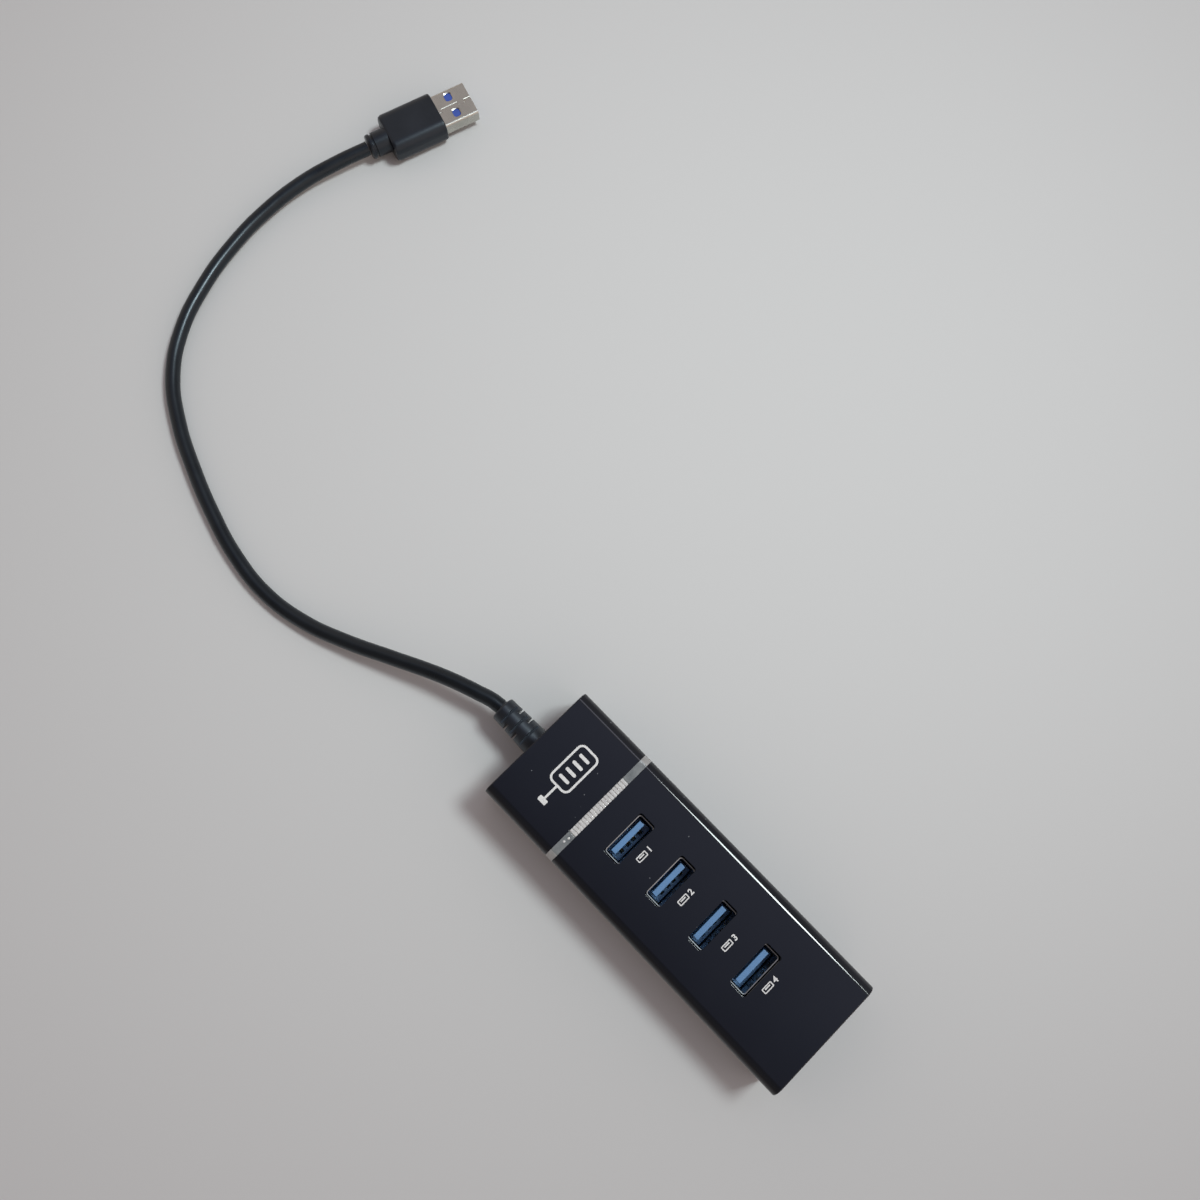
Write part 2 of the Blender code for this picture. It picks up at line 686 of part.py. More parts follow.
def make_plug_shell(frame):
    """A folded sleeve with two windows on each wide side."""
    start, end = plug_shell_ends()
    half_y, half_z = PLUG_SHELL_WIDTH / 2, PLUG_SHELL_THICKNESS / 2
    rounded = [(0, SHELL_CORNER, 3, every_edge)]
    shape = box("plug_shell", (start, -half_y, -half_z), (end, half_y, half_z), rounded)
    shell = add_part("plug_shell", shape, "port_metal", frame)
    inner_y, inner_z = half_y - SHELL_SHEET, half_z - SHELL_SHEET
    inner_rounded = [(0, SHELL_CORNER - SHELL_SHEET, 3, every_edge)]
    low = (start - OVERSHOOT, -inner_y, -inner_z)
    cut(shell, "hollow", box("hollow", low, (end + OVERSHOOT, inner_y, inner_z), inner_rounded))
    middle_x = NECK_LENGTH + GRIP_LENGTH + WINDOW_DISTANCE
    half = WINDOW_SIZE / 2
    for side in (-1, 1):
        low = (middle_x - half, side * WINDOW_Y - half, -half_z - OVERSHOOT)
        high = (middle_x + half, side * WINDOW_Y + half, half_z + OVERSHOOT)
        cut(shell, f"window_{side + 1}", box("window", low, high))


def make_plug_insides(frame):
    start, end = plug_shell_ends()
    half_y = PLUG_SHELL_WIDTH / 2 - SHELL_SHEET - GAP
    bottom = -PLUG_SHELL_THICKNESS / 2 + SHELL_SHEET + GAP
    top = bottom + PLUG_BLOCK_THICKNESS
    shape = box("plug_insulator", (start, -half_y, bottom), (end - PLUG_FACE_BACK, half_y, top))
    add_part("plug_insulator", shape, "port_blue", frame)
    for row, y in enumerate(CONTACT_ROWS, 1):
        low = (start + PLUG_CONTACT_START, y - CONTACT_WIDTH / 2, top + GAP)
        high = (end - PLUG_CONTACT_END, y + CONTACT_WIDTH / 2, top + GAP + CONTACT_SHEET)
        contact = box("plug_contact", low, high)
        add_part(f"plug_contact_{row}", contact, "contact_gold", frame)


def make_plug():
    frame = make_plug_frame()
    make_plug_overmold(frame)
    make_plug_shell(frame)
    make_plug_insides(frame)


def main():
    clear_scene()
    make_bottom_case()
    make_top_cover()
    make_light_guide()
    make_board()
    make_board_components()
    make_ports()
    make_strain_relief()
    make_wires()
    make_cable()
    make_plug()


main()
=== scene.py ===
"""The looks of a four-port USB 3.0 hub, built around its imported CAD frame.

Metres, +Z up. +X runs along the case, away from the cable, and +Y runs across it.
"""

import json
import math

import bmesh
import bpy
from mathutils import Matrix, Vector


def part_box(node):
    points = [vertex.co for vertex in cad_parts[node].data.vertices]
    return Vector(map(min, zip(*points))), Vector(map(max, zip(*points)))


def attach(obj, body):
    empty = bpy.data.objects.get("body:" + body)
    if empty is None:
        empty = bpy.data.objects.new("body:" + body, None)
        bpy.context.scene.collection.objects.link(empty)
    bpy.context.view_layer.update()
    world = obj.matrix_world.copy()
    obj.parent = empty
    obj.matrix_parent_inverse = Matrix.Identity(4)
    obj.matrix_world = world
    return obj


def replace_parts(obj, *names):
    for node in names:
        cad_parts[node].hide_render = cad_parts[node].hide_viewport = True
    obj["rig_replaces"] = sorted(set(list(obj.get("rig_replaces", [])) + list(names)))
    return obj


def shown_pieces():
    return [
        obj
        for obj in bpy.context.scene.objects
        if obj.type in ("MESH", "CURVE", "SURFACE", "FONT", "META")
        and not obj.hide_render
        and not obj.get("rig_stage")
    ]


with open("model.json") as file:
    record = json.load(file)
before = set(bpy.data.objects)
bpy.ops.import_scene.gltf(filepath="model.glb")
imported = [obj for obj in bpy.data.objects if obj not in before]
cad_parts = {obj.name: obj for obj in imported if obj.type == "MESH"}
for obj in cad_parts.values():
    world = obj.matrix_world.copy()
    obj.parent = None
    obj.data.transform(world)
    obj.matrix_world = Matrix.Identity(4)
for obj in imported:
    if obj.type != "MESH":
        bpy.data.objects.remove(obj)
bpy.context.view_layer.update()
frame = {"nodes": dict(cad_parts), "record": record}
BODY = "root"
MM = 0.001

# The camera, held above the table and almost straight over the hub
CAMERA_PLACE = (-0.0283, -0.0061, 0.3231)
CAMERA_TURN = (math.radians(11.39), math.radians(-0.77), math.radians(45.61))
CAMERA_LENS = 33.66  # mm, on a 36 mm sensor

# The cable's line, the same points as the CAD's tube
CABLE_DIAMETER = 0.0044
CABLE_ROUTE = [
    (-0.0678, 0.0000, 0.0106),
    (-0.0710, -0.0005, 0.0106),
    (-0.0750, -0.0018, 0.0104),
    (-0.0810, -0.0039, 0.0099),
    (-0.0874, -0.0065, 0.0091),
    (-0.1000, -0.0125, 0.0071),
    (-0.1130, -0.0187, 0.0049),
    (-0.1266, -0.0238, 0.0031),
    (-0.1410, -0.0262, 0.0024),
    (-0.1556, -0.0250, 0.0024),
    (-0.1700, -0.0214, 0.0024),
    (-0.1842, -0.0165, 0.0024),
    (-0.1983, -0.0103, 0.0024),
    (-0.2110, -0.0019, 0.0024),
    (-0.2207, 0.0100, 0.0024),
    (-0.2270, 0.0240, 0.0024),
    (-0.2309, 0.0386, 0.0024),
    (-0.2325, 0.0538, 0.0027),
    (-0.2315, 0.0689, 0.0034),
    (-0.2285, 0.0815, 0.0041),
    (-0.2256, 0.0910, 0.0044),
]

# Places read from the frame
_, COVER_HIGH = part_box("top_cover")
RELIEF_LOW, RELIEF_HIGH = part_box("strain_relief")
HALF_LENGTH = COVER_HIGH.x
HALF_WIDTH = COVER_HIGH.y
CASE_TOP = COVER_HIGH.z
WALL = 1.8 * MM
TOP_EDGE_RADIUS = 2.9 * MM
BOTTOM_EDGE_RADIUS = 2.0 * MM
SEAM = RELIEF_LOW.z + (RELIEF_HIGH.z - RELIEF_LOW.z) / 2  # the halves meet at the relief's middle
PORTS = range(1, 5)


# --- meshes


def mesh_object(name, bm):
    """An object in the scene from a finished mesh."""
    data = bpy.data.meshes.new(name)
    bm.to_mesh(data)
    bm.free()
    obj = bpy.data.objects.new(name, data)
    bpy.context.scene.collection.objects.link(obj)
    return obj


def arc(centre, radius, start, end, steps):
    """Points of an arc in a plane, with its angles in degrees."""
    angles = [math.radians(start + (end - start) * i / steps) for i in range(steps + 1)]
    return [(centre[0] + radius * math.cos(a), centre[1] + radius * math.sin(a)) for a in angles]


def rounded_rectangle(width, height, radius, steps=6, centre=(0.0, 0.0)):
    """A closed outline, anticlockwise."""
    x, y = width / 2 - radius, height / 2 - radius
    points = []
    for sx, sy, start in ((1, 1, 0), (-1, 1, 90), (-1, -1, 180), (1, -1, 270)):
        corner = (centre[0] + sx * x, centre[1] + sy * y)
        points += arc(corner, radius, start, start + 90, steps) if radius > 0 else [corner]
    return points


AXES = {  # which world axes an outline's two numbers and its depth run along
    "x": lambda a, b, d: (d, a, b),
    "y": lambda a, b, d: (a, d, b),
    "z": lambda a, b, d: (a, b, d),
}


def skinned(name, bm, rings):
    """Closes two rings of vertices into a solid."""
    count = len(rings[0])
    for i in range(count):
        j = (i + 1) % count
        bm.faces.new((rings[0][i], rings[0][j], rings[1][j], rings[1][i]))
    for ring in rings:
        bm.faces.new(ring)
    bmesh.ops.recalc_face_normals(bm, faces=bm.faces)
    return mesh_object(name, bm)


def loft(name, low_outline, high_outline, axis, low, high):
    """Two outlines with as many points each, made one solid between two places on an axis."""
    bm = bmesh.new()
    ends = ((low_outline, low), (high_outline, high))
    rings = [[bm.verts.new(AXES[axis](a, b, depth)) for a, b in outline] for outline, depth in ends]
    return skinned(name, bm, rings)


def prism(name, outline, axis, low, high):
    """An outline made solid between two places on an axis."""
    return loft(name, outline, outline, axis, low, high)


def block(name, low, high):
    """A box between two corners."""
    bm = bmesh.new()
    low, high = Vector(low), Vector(high)
    placing = Matrix.Translation((low + high) / 2) @ Matrix.Diagonal((*(high - low), 1.0))
    bmesh.ops.create_cube(bm, size=1.0, matrix=placing)
    return mesh_object(name, bm)


def rod(name, start, end, radius, segments=32):
    """A cylinder between two places."""
    start, end = Vector(start), Vector(end)
    turn = (end - start).to_track_quat("Z", "Y").to_matrix().to_4x4()
    bm = bmesh.new()
    bmesh.ops.create_cone(
        bm,
        cap_ends=True,
        segments=segments,
        radius1=radius,
        radius2=radius,
        depth=(end - start).length,
        matrix=Matrix.Translation((start + end) / 2) @ turn,
    )
    return mesh_object(name, bm)


def turned(name, profile, steps=64):
    """A profile of (distance along X, radius) points turned about the X axis, closed at its ends."""
    bm = bmesh.new()
    rings = []
    for along, radius in profile:
        if radius <= 0:
            rings.append([bm.verts.new((along, 0.0, 0.0))])
            continue
        turns = [math.tau * i / steps for i in range(steps)]
        circle = [(along, radius * math.cos(a), radius * math.sin(a)) for a in turns]
        rings.append([bm.verts.new(place) for place in circle])
    for a, b in zip(rings, rings[1:]):
        for i in range(steps):
            j = (i + 1) % steps
            corners = [a[i % len(a)], a[j % len(a)], b[j % len(b)], b[i % len(b)]]
            bm.faces.new(list(dict.fromkeys(corners)))
    bmesh.ops.recalc_face_normals(bm, faces=bm.faces)
    return mesh_object(name, bm)


def combine(obj, helper, operation="DIFFERENCE"):
    """Cuts a helper from an object, or joins it on, and removes the helper."""
    modifier = obj.modifiers.new("combine", "BOOLEAN")
    modifier.operation = operation
    modifier.solver = "EXACT"
    modifier.object = helper
    apply_modifiers(obj)
    bpy.data.objects.remove(helper)


def apply_modifiers(obj):
    depsgraph = bpy.context.evaluated_depsgraph_get()
    old = obj.data
    obj.data = bpy.data.meshes.new_from_object(obj.evaluated_get(depsgraph))
    obj.modifiers.clear()
    bpy.data.meshes.remove(old)


def bevel(obj, width, segments, angle=50.0):
    """Rounds the edges that are sharper than an angle."""
    modifier = obj.modifiers.new("bevel", "BEVEL")
    modifier.width = width
    modifier.segments = segments
    modifier.limit_method = "ANGLE"
    modifier.angle_limit = math.radians(angle)
    apply_modifiers(obj)


SHARP_EDGE = 40.0  # degrees


def bevel_where(obj, width, segments, test):
    """Bevels the sharp edges whose middle passes a test."""
    bm = bmesh.new()
    bm.from_mesh(obj.data)
    edges = [
        e
        for e in bm.edges
        if len(e.link_faces) == 2
        and e.calc_face_angle() > math.radians(SHARP_EDGE)
        and test((e.verts[0].co + e.verts[1].co) / 2)
    ]
    bmesh.ops.bevel(
        bm,
        geom=edges,
        offset=width,
        segments=segments,
        profile=0.5,
        affect="EDGES",
        clamp_overlap=True,
    )
    bm.to_mesh(obj.data)
    bm.free()


def smooth(obj, angle=30.0):
    """Smooth shading whose flat faces stay flat."""
    obj.data.shade_smooth()
    obj.data.set_sharp_from_angle(angle=math.radians(angle))
    modifier = obj.modifiers.new("normals", "WEIGHTED_NORMAL")
    modifier.keep_sharp = True
    modifier.weight = 80
    apply_modifiers(obj)


def dress(obj, material, replaces=()):
    """Gives a piece its material and its place in the frame."""
    obj.data.materials.clear()
    for one in material if isinstance(material, (list, tuple)) else [material]:
        obj.data.materials.append(one)
    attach(obj, BODY)
    if replaces:
        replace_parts(obj, *([replaces] if isinstance(replaces, str) else replaces))
    return obj


# --- materials

COOL_GLOSS = (0.78, 0.90, 1.0, 1.0)  # the tint of the black rubber's and plastic's gloss


def add_node(tree, kind, settings=(), **inputs):
    """A shader node. An input takes a number, a colour, or a socket to be linked to."""
    node = tree.nodes.new("ShaderNode" + kind)
    for name, value in dict(settings).items():
        setattr(node, name, value)
    for name, value in inputs.items():
        socket = node.inputs[name.replace("_", " ")]
        if isinstance(value, bpy.types.NodeSocket):
            tree.links.new(value, socket)
        else:
            socket.default_value = value
    return node


def map_range(tree, value, low, high, out_low=0.0, out_high=1.0, eased=False):
    """A socket's value taken from one range to another."""
    settings = {"interpolation_type": "SMOOTHSTEP" if eased else "LINEAR"}
    ends = {"From_Min": low, "From_Max": high, "To_Min": out_low, "To_Max": out_high}
    return add_node(tree, "MapRange", settings, Value=value, **ends).outputs["Result"]


def mix_colours(tree, factor, first, second):
    """A colour between two, each a socket or a fixed colour."""
    ends = [c if isinstance(c, bpy.types.NodeSocket) else (*c, 1.0) for c in (first, second)]
    node = add_node(tree, "Mix", {"data_type": "RGBA"}, Factor=factor, A=ends[0], B=ends[1])
    return node.outputs["Result"]


class Finish:
    """A Principled material, and the textures that vary it."""

    def __init__(self, name, colour, roughness, metallic=0.0, **sockets):
        self.material = bpy.data.materials.new(name)
        self.material.use_nodes = True
        self.tree = self.material.node_tree
        self.shader = self.tree.nodes["Principled BSDF"]
        self.shader.inputs["Base Color"].default_value = (*colour, 1.0)
        self.shader.inputs["Roughness"].default_value = roughness
        self.shader.inputs["Metallic"].default_value = metallic
        for socket, value in sockets.items():
            self.shader.inputs[socket.replace("_", " ")].default_value = value
        self.space = add_node(self.tree, "TexCoord").outputs["Object"]
        self.normal = None

    def mapped(self, stretch, turn=0.0):
        rotation = (0.0, 0.0, math.radians(turn))
        node = add_node(self.tree, "Mapping", Vector=self.space, Scale=stretch, Rotation=rotation)
        return node.outputs["Vector"]

    def noise(self, scale, detail=3.0, rough=0.55, stretch=(1.0, 1.0, 1.0), turn=0.0):
        place = self.mapped(stretch, turn)
        values = {"Scale": scale, "Detail": detail, "Roughness": rough}
        return add_node(self.tree, "TexNoise", Vector=place, **values).outputs["Fac"]

    def cells(self, scale, stretch=(1.0, 1.0, 1.0)):
        """(distance to the cell's point, the cell's random colour)"""
        node = add_node(self.tree, "TexVoronoi", Vector=self.mapped(stretch), Scale=scale)
        return node.outputs["Distance"], node.outputs["Color"]

    def ramp(self, value, low, high, out_low=0.0, out_high=1.0):
        return map_range(self.tree, value, low, high, out_low, out_high)

    def times(self, a, b):
        node = add_node(self.tree, "Math", {"operation": "MULTIPLY"})
        self.tree.links.new(a, node.inputs[0])
        self.tree.links.new(b, node.inputs[1])
        return node.outputs["Value"]

    def colour(self, factor, first, second):
        """Mixes the base colour between two, or between what it already is and another."""
        base = self.shader.inputs["Base Color"]
        if first is None:
            first = base.links[0].from_socket
        self.tree.links.new(mix_colours(self.tree, factor, first, second), base)

    def rough(self, value):
        self.tree.links.new(value, self.shader.inputs["Roughness"])

    def bump(self, height, strength, distance):
        under = {"Normal": self.normal} if self.normal else {}
        node = add_node(self.tree, "Bump", Strength=strength, Distance=distance, Height=height, **under)
        self.normal = node.outputs["Normal"]
        self.tree.links.new(self.normal, self.shader.inputs["Normal"])


def gloss_black():
    """Polished black plastic with smudges, dust and a few hairlines."""
    finish = Finish("gloss_black", (0.0045, 0.006, 0.0095), 0.06)
    smudge = finish.noise(38.0, 4.0, 0.6)
    finish.rough(finish.ramp(smudge, 0.35, 0.75, 0.05, 0.12))
    finish.colour(finish.ramp(smudge, 0.3, 0.8), (0.0040, 0.0055, 0.0088), (0.0062, 0.0078, 0.0118))
    distance, chance = finish.cells(330.0)
    speck = finish.ramp(distance, 0.03, 0.07, 1.0, 0.0)
    rare = finish.ramp(chance, 0.70, 0.72)
    finish.colour(finish.times(speck, rare), None, (0.16, 0.17, 0.18))
    hair = finish.noise(260.0, 1.0, 0.4, (1.0, 0.02, 1.0), 35.0)
    finish.bump(finish.ramp(hair, 0.80, 0.83), 0.08, 0.00002)
    return finish.material


def moulded_black(name, colour, grain_scale, roughness, strength=0.25, **sockets):
    """Spark-textured black plastic or rubber."""
    finish = Finish(name, colour, roughness[0], Specular_Tint=COOL_GLOSS, **sockets)
    grain = finish.noise(grain_scale, 3.0, 0.6)
    wear = finish.noise(90.0, 4.0, 0.6)
    finish.rough(finish.ramp(wear, 0.3, 0.75, *roughness))
    lighter = tuple(c * 1.8 + 0.002 for c in colour)
    finish.colour(finish.ramp(wear, 0.35, 0.85), colour, lighter)
    finish.bump(grain, strength, 0.00003)
    return finish.material


def nickel(name, colour, roughness=(0.16, 0.30)):
    """Plated sheet with fine rolling lines and a few stains."""
    finish = Finish(name, colour, roughness[0], 1.0)
    lines = finish.noise(5000.0, 3.0, 0.6, (0.05, 1.0, 1.0))
    stain = finish.noise(260.0, 4.0, 0.6)
    finish.rough(finish.ramp(stain, 0.3, 0.75, *roughness))
    finish.colour(finish.ramp(stain, 0.35, 0.8), colour, tuple(c * 0.78 for c in colour))
    finish.bump(lines, 0.10, 0.00001)
    return finish.material


def moulded_colour(name, colour, roughness=(0.30, 0.45), **sockets):
    """Coloured plastic, slightly uneven."""
    finish = Finish(name, colour, roughness[0], **sockets)
    tone = finish.noise(420.0, 3.0, 0.6)
    finish.rough(finish.ramp(tone, 0.3, 0.75, *roughness))
    finish.colour(finish.ramp(tone, 0.3, 0.8), colour, tuple(c * 0.82 for c in colour))
    finish.bump(finish.noise(4200.0, 2.0), 0.10, 0.00002)
    return finish.material


def solder_mask():
    """Green lacquer over a raised pattern of tracks."""
    finish = Finish("solder_mask", (0.006, 0.075, 0.03), 0.3)
    distance, _ = finish.cells(420.0, (1.0, 1.0, 0.001))
    track = finish.ramp(distance, 0.42, 0.46)
    finish.colour(track, (0.004, 0.055, 0.022), (0.012, 0.12, 0.05))
    finish.rough(finish.ramp(finish.noise(300.0), 0.3, 0.7, 0.25, 0.42))
    finish.bump(track, 0.35, 0.00003)
    return finish.material


def epoxy():
    """Matt grainy resin."""
    finish = Finish("chip_epoxy", (0.018, 0.018, 0.019), 0.6)
    grain = finish.noise(3600.0, 4.0, 0.7)
    finish.colour(grain, (0.012, 0.012, 0.013), (0.03, 0.03, 0.031))
    finish.rough(finish.ramp(grain, 0.3, 0.7, 0.5, 0.72))
    finish.bump(grain, 0.3, 0.00002)
    return finish.material


def gold():
    """Plating, rubbed in places."""
    finish = Finish("contact_gold", (0.83, 0.60, 0.24), 0.22, 1.0)
    wear = finish.noise(1400.0, 3.0)
    finish.rough(finish.ramp(wear, 0.3, 0.7, 0.16, 0.32))
    finish.colour(finish.ramp(wear, 0.4, 0.8), (0.83, 0.60, 0.24), (0.70, 0.50, 0.22))
    finish.bump(finish.noise(5200.0, 2.0, 0.5, (1.0, 1.0, 0.06)), 0.08, 0.00001)
    return finish.material


def acrylic(name, colour, through, tones, roughness, cloud_scale, grain):
    """Water-clear plastic over a dark groove, clouded where it scatters the light."""
    glass = {"Transmission_Weight": through, "IOR": 1.49, "Coat_Weight": 0.4}
    finish = Finish(name, colour, roughness[0], **glass)
    cloud = finish.noise(cloud_scale, 3.0, 0.6)
    finish.colour(finish.ramp(cloud, 0.3, 0.75), *tones)
    finish.rough(finish.ramp(cloud, 0.3, 0.7, *roughness))
    scale, strength, distance = grain
    finish.bump(finish.noise(scale, 2.0), strength, distance)
    return finish.material


def printed_white():
    """Pad-printed ink, slightly uneven."""
    finish = Finish("printed_white", (0.78, 0.78, 0.77), 0.45)
    patch = finish.noise(3000.0, 3.0, 0.6)
    finish.colour(finish.ramp(patch, 0.35, 0.7), (0.80, 0.80, 0.79), (0.60, 0.60, 0.60))
    finish.rough(finish.ramp(patch, 0.3, 0.7, 0.4, 0.55))
    finish.bump(patch, 0.2, 0.00001)
    return finish.material


def jacket_black():
    """Semi-gloss PVC with a fine extruded skin."""
    finish = Finish("cable_jacket", (0.003, 0.0045, 0.0065), 0.3, Specular_Tint=COOL_GLOSS)
    patch = finish.noise(140.0, 4.0, 0.6)
    finish.rough(finish.ramp(patch, 0.3, 0.75, 0.26, 0.36))
    finish.colour(finish.ramp(patch, 0.3, 0.8), (0.003, 0.0042, 0.006), (0.006, 0.0075, 0.010))
    finish.bump(finish.noise(2600.0, 3.0, 0.6), 0.12, 0.00002)
    return finish.material


def pale_floor():
    """Plain and matt."""
    return Finish("pale_floor", (0.60, 0.60, 0.60), 0.75).material


MATERIALS = {
    "cover_plastic": gloss_black(),
    "case_plastic": moulded_black("case_black", (0.007, 0.007, 0.008), 4200.0, (0.30, 0.42)),
    "strip_clear": acrylic(
        "strip_clear",
        (0.30, 0.32, 0.33),
        0.35,
        ((0.20, 0.22, 0.225), (0.42, 0.44, 0.44)),
        (0.08, 0.22),
        320.0,
        (700.0, 0.15, 0.00006),
    ),
    "strip_ribbed": acrylic(
        "strip_ribbed",
        (0.62, 0.61, 0.60),
        0.08,
        ((0.54, 0.53, 0.53), (0.72, 0.71, 0.69)),
        (0.18, 0.36),
        900.0,
        (2200.0, 0.2, 0.00004),
    ),
    "strip_end": acrylic(  # where it turns over the case's edges
        "strip_end",
        (0.40, 0.39, 0.38),
        0.2,
        ((0.33, 0.325, 0.32), (0.48, 0.47, 0.46)),
        (0.28, 0.42),
        600.0,
        (1600.0, 0.15, 0.00004),
    ),
    "board_laminate": solder_mask(),
    "chip_epoxy": epoxy(),
    "led_resin": moulded_colour("led_resin", (0.85, 0.83, 0.70), (0.15, 0.25), Subsurface_Weight=0.3),
    "fuse_resin": moulded_colour("fuse_resin", (0.02, 0.22, 0.07), (0.35, 0.5)),
    "bright_metal": nickel("bright_nickel", (0.70, 0.69, 0.66)),
    "plug_metal": nickel("plug_nickel", (0.57, 0.56, 0.51), (0.20, 0.34)),
    "port_metal": nickel("port_nickel", (0.36, 0.39, 0.42), (0.22, 0.36)),
    # The sleeves' upward faces: a rougher raw cut edge, made near black as painted shade of the deep narrow
    # gap round each socket.
    "cut_metal": nickel("cut_edge_painted_shade", (0.06, 0.06, 0.065), (0.45, 0.60)),
    "port_plastic": moulded_colour("port_blue", (0.14, 0.30, 0.56)),
    "plug_plastic": moulded_colour("plug_blue", (0.043, 0.095, 0.42)),
    "contact_metal": gold(),
    "cord_jacket": jacket_black(),
    "cord_rubber": moulded_black(
        "relief_black", (0.004, 0.005, 0.008), 3400.0, (0.28, 0.38), 0.3, Specular_IOR_Level=0.8
    ),
    "plug_grip": moulded_black("grip_black", (0.006, 0.007, 0.010), 4600.0, (0.28, 0.38), 0.3),
    "printed_white": printed_white(),
}
WIRES = {
    "wire_red": (0.50, 0.02, 0.015),
    "wire_black": (0.012, 0.012, 0.012),
    "wire_green": (0.02, 0.26, 0.05),
    "wire_white": (0.72, 0.72, 0.69),
    "wire_blue": (0.03, 0.10, 0.42),
    "wire_orange": (0.70, 0.22, 0.03),
}
MATERIALS |= {name: moulded_colour(name, colour) for name, colour in WIRES.items()}


# --- case

EDGE_STEPS = 18
END_ROUND = 0.35 * MM
SEAM_GAP = 0.1 * MM
PORT_HOLE = (5.9 * MM, 14.0 * MM)  # the cover's opening under each cut-out's lip, along X and Y
PORT_HOLE_CORNER = 0.7 * MM
PORT_RIM_BEVEL = 0.12 * MM
PORT_LIP = 1.5 * MM
# The cut-outs aren't quite in line with the sockets: how far each opens to -X and +X
PORT_REACH = {
    1: (2.95 * MM, 2.45 * MM),
    2: (2.95 * MM, 2.40 * MM),
    3: (2.55 * MM, 2.35 * MM),
    4: (2.55 * MM, 2.95 * MM),
}
STRIP_LOW, STRIP_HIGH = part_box("light_guide")
STRIP_X = (STRIP_LOW.x + STRIP_HIGH.x) / 2
STRIP_HALF = (STRIP_HIGH.x - STRIP_LOW.x) / 2
STRIP_DEPTH = 1.1 * MM
STRIP_PLAY = 0.04 * MM
STRIP_FOOT = CASE_TOP - 6.0 * MM
POSTS = [(x * MM, y * MM) for x in (-47.0, 47.0) for y in (-13.0, 13.0)]
POST_RADIUS = 2.5 * MM
PIN_RADIUS = 1.0 * MM
POST_MEET = 6.2 * MM, 3.1 * MM  # the foot of the cover's posts and the top of the base's
PIN_TOP = 5.7 * MM
RELIEF_HOLE = 4.0 * MM  # radius


def case_outline(low, high, rounded_top):
    """The case's cross-section between two heights, with its two long edges rounded at the top or bottom."""
    radius = TOP_EDGE_RADIUS if rounded_top else BOTTOM_EDGE_RADIUS
    inner = HALF_WIDTH - radius
    if rounded_top:
        corner = high - radius
        right = arc((inner, corner), radius, 0, 90, EDGE_STEPS)
        left = arc((-inner, corner), radius, 90, 180, EDGE_STEPS)
        return [(-HALF_WIDTH, low), (HALF_WIDTH, low), *right, *left]
    corner = low + radius
    left = arc((-inner, corner), radius, 180, 270, EDGE_STEPS)
    right = arc((inner, corner), radius, 270, 360, EDGE_STEPS)
    return [*left, *right, (HALF_WIDTH, high), (-HALF_WIDTH, high)]


def hollow(obj, inset, low, high):
    """Cuts out a half's inside between two heights."""
    x, y = HALF_LENGTH - inset, HALF_WIDTH - inset
    combine(obj, block("hollow", (-x, -y, low), (x, y, high)))


def relief_hole(obj):
    """Opens the end wall for the strain relief."""
    start, end = (-HALF_LENGTH - WALL, 0, SEAM), (-HALF_LENGTH + 2 * WALL, 0, SEAM)
    combine(obj, rod("hole", start, end, RELIEF_HOLE, 48))


def port_box(number):
    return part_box(f"port_{number}_shell")


def port_middle(number):
    low, high = port_box(number)
    return (low + high) / 2


def near_port_rim(point):
    """Whether a point is on the mouth of a port's cut-out."""
    if abs(point.z - CASE_TOP) > 0.01 * MM:
        return False
    spare = 0.1 * MM
    reach_x, reach_y = PORT_HOLE[0] / 2 + spare, PORT_HOLE[1] / 2 + spare
    for number in PORTS:
        middle = port_middle(number)
        if abs(point.x - middle.x) < reach_x and abs(point.y - middle.y) < reach_y:
            return True
    return False


def make_cover():
    """The glossy upper half, with its posts, port cut-outs and groove."""
    low = SEAM + SEAM_GAP / 2
    cover = prism("gloss_cover", case_outline(low, CASE_TOP, True), "x", -HALF_LENGTH, HALF_LENGTH)
    bevel(cover, END_ROUND, 4, 60.0)
    hollow(cover, WALL, low - WALL, CASE_TOP - WALL)
    for x, y in POSTS:
        post = rod("post", (x, y, POST_MEET[0]), (x, y, CASE_TOP - WALL / 2), POST_RADIUS)
        combine(cover, post, "UNION")
    for number in PORTS:
        middle = port_middle(number)
        left, right = PORT_REACH[number]
        under = rounded_rectangle(*PORT_HOLE, PORT_HOLE_CORNER, centre=(middle.x, middle.y))
        combine(cover, prism("cut", under, "z", CASE_TOP - 2 * WALL, CASE_TOP - PORT_LIP))
        centre = (middle.x + (right - left) / 2, middle.y)
        mouth = rounded_rectangle(left + right, PORT_HOLE[1], PORT_HOLE_CORNER, centre=centre)
        combine(cover, prism("cut", mouth, "z", CASE_TOP - 2 * WALL, CASE_TOP + WALL))
    bevel_where(cover, PORT_RIM_BEVEL, 2, near_port_rim)
    cut_groove(cover)
    relief_hole(cover)
    smooth(cover)
    dress(cover, MATERIALS["cover_plastic"], "top_cover")


def cut_groove(cover):
    """The strip's groove over the top and down both sides, and the window under its ribs."""
    half = STRIP_HALF + STRIP_PLAY
    left, right = STRIP_X - half, STRIP_X + half
    foot = STRIP_FOOT - 0.05 * MM
    outer = strip_outline(-WALL, foot)
    inner = strip_outline(STRIP_DEPTH + 0.1 * MM, foot)
    combine(cover, prism("groove", [*outer, *reversed(inner)], "x", left, right))
    low = (left, -RIB_REACH, CASE_TOP - 2 * WALL)
    combine(cover, block("cut", low, (right, RIB_REACH, CASE_TOP + WALL)))


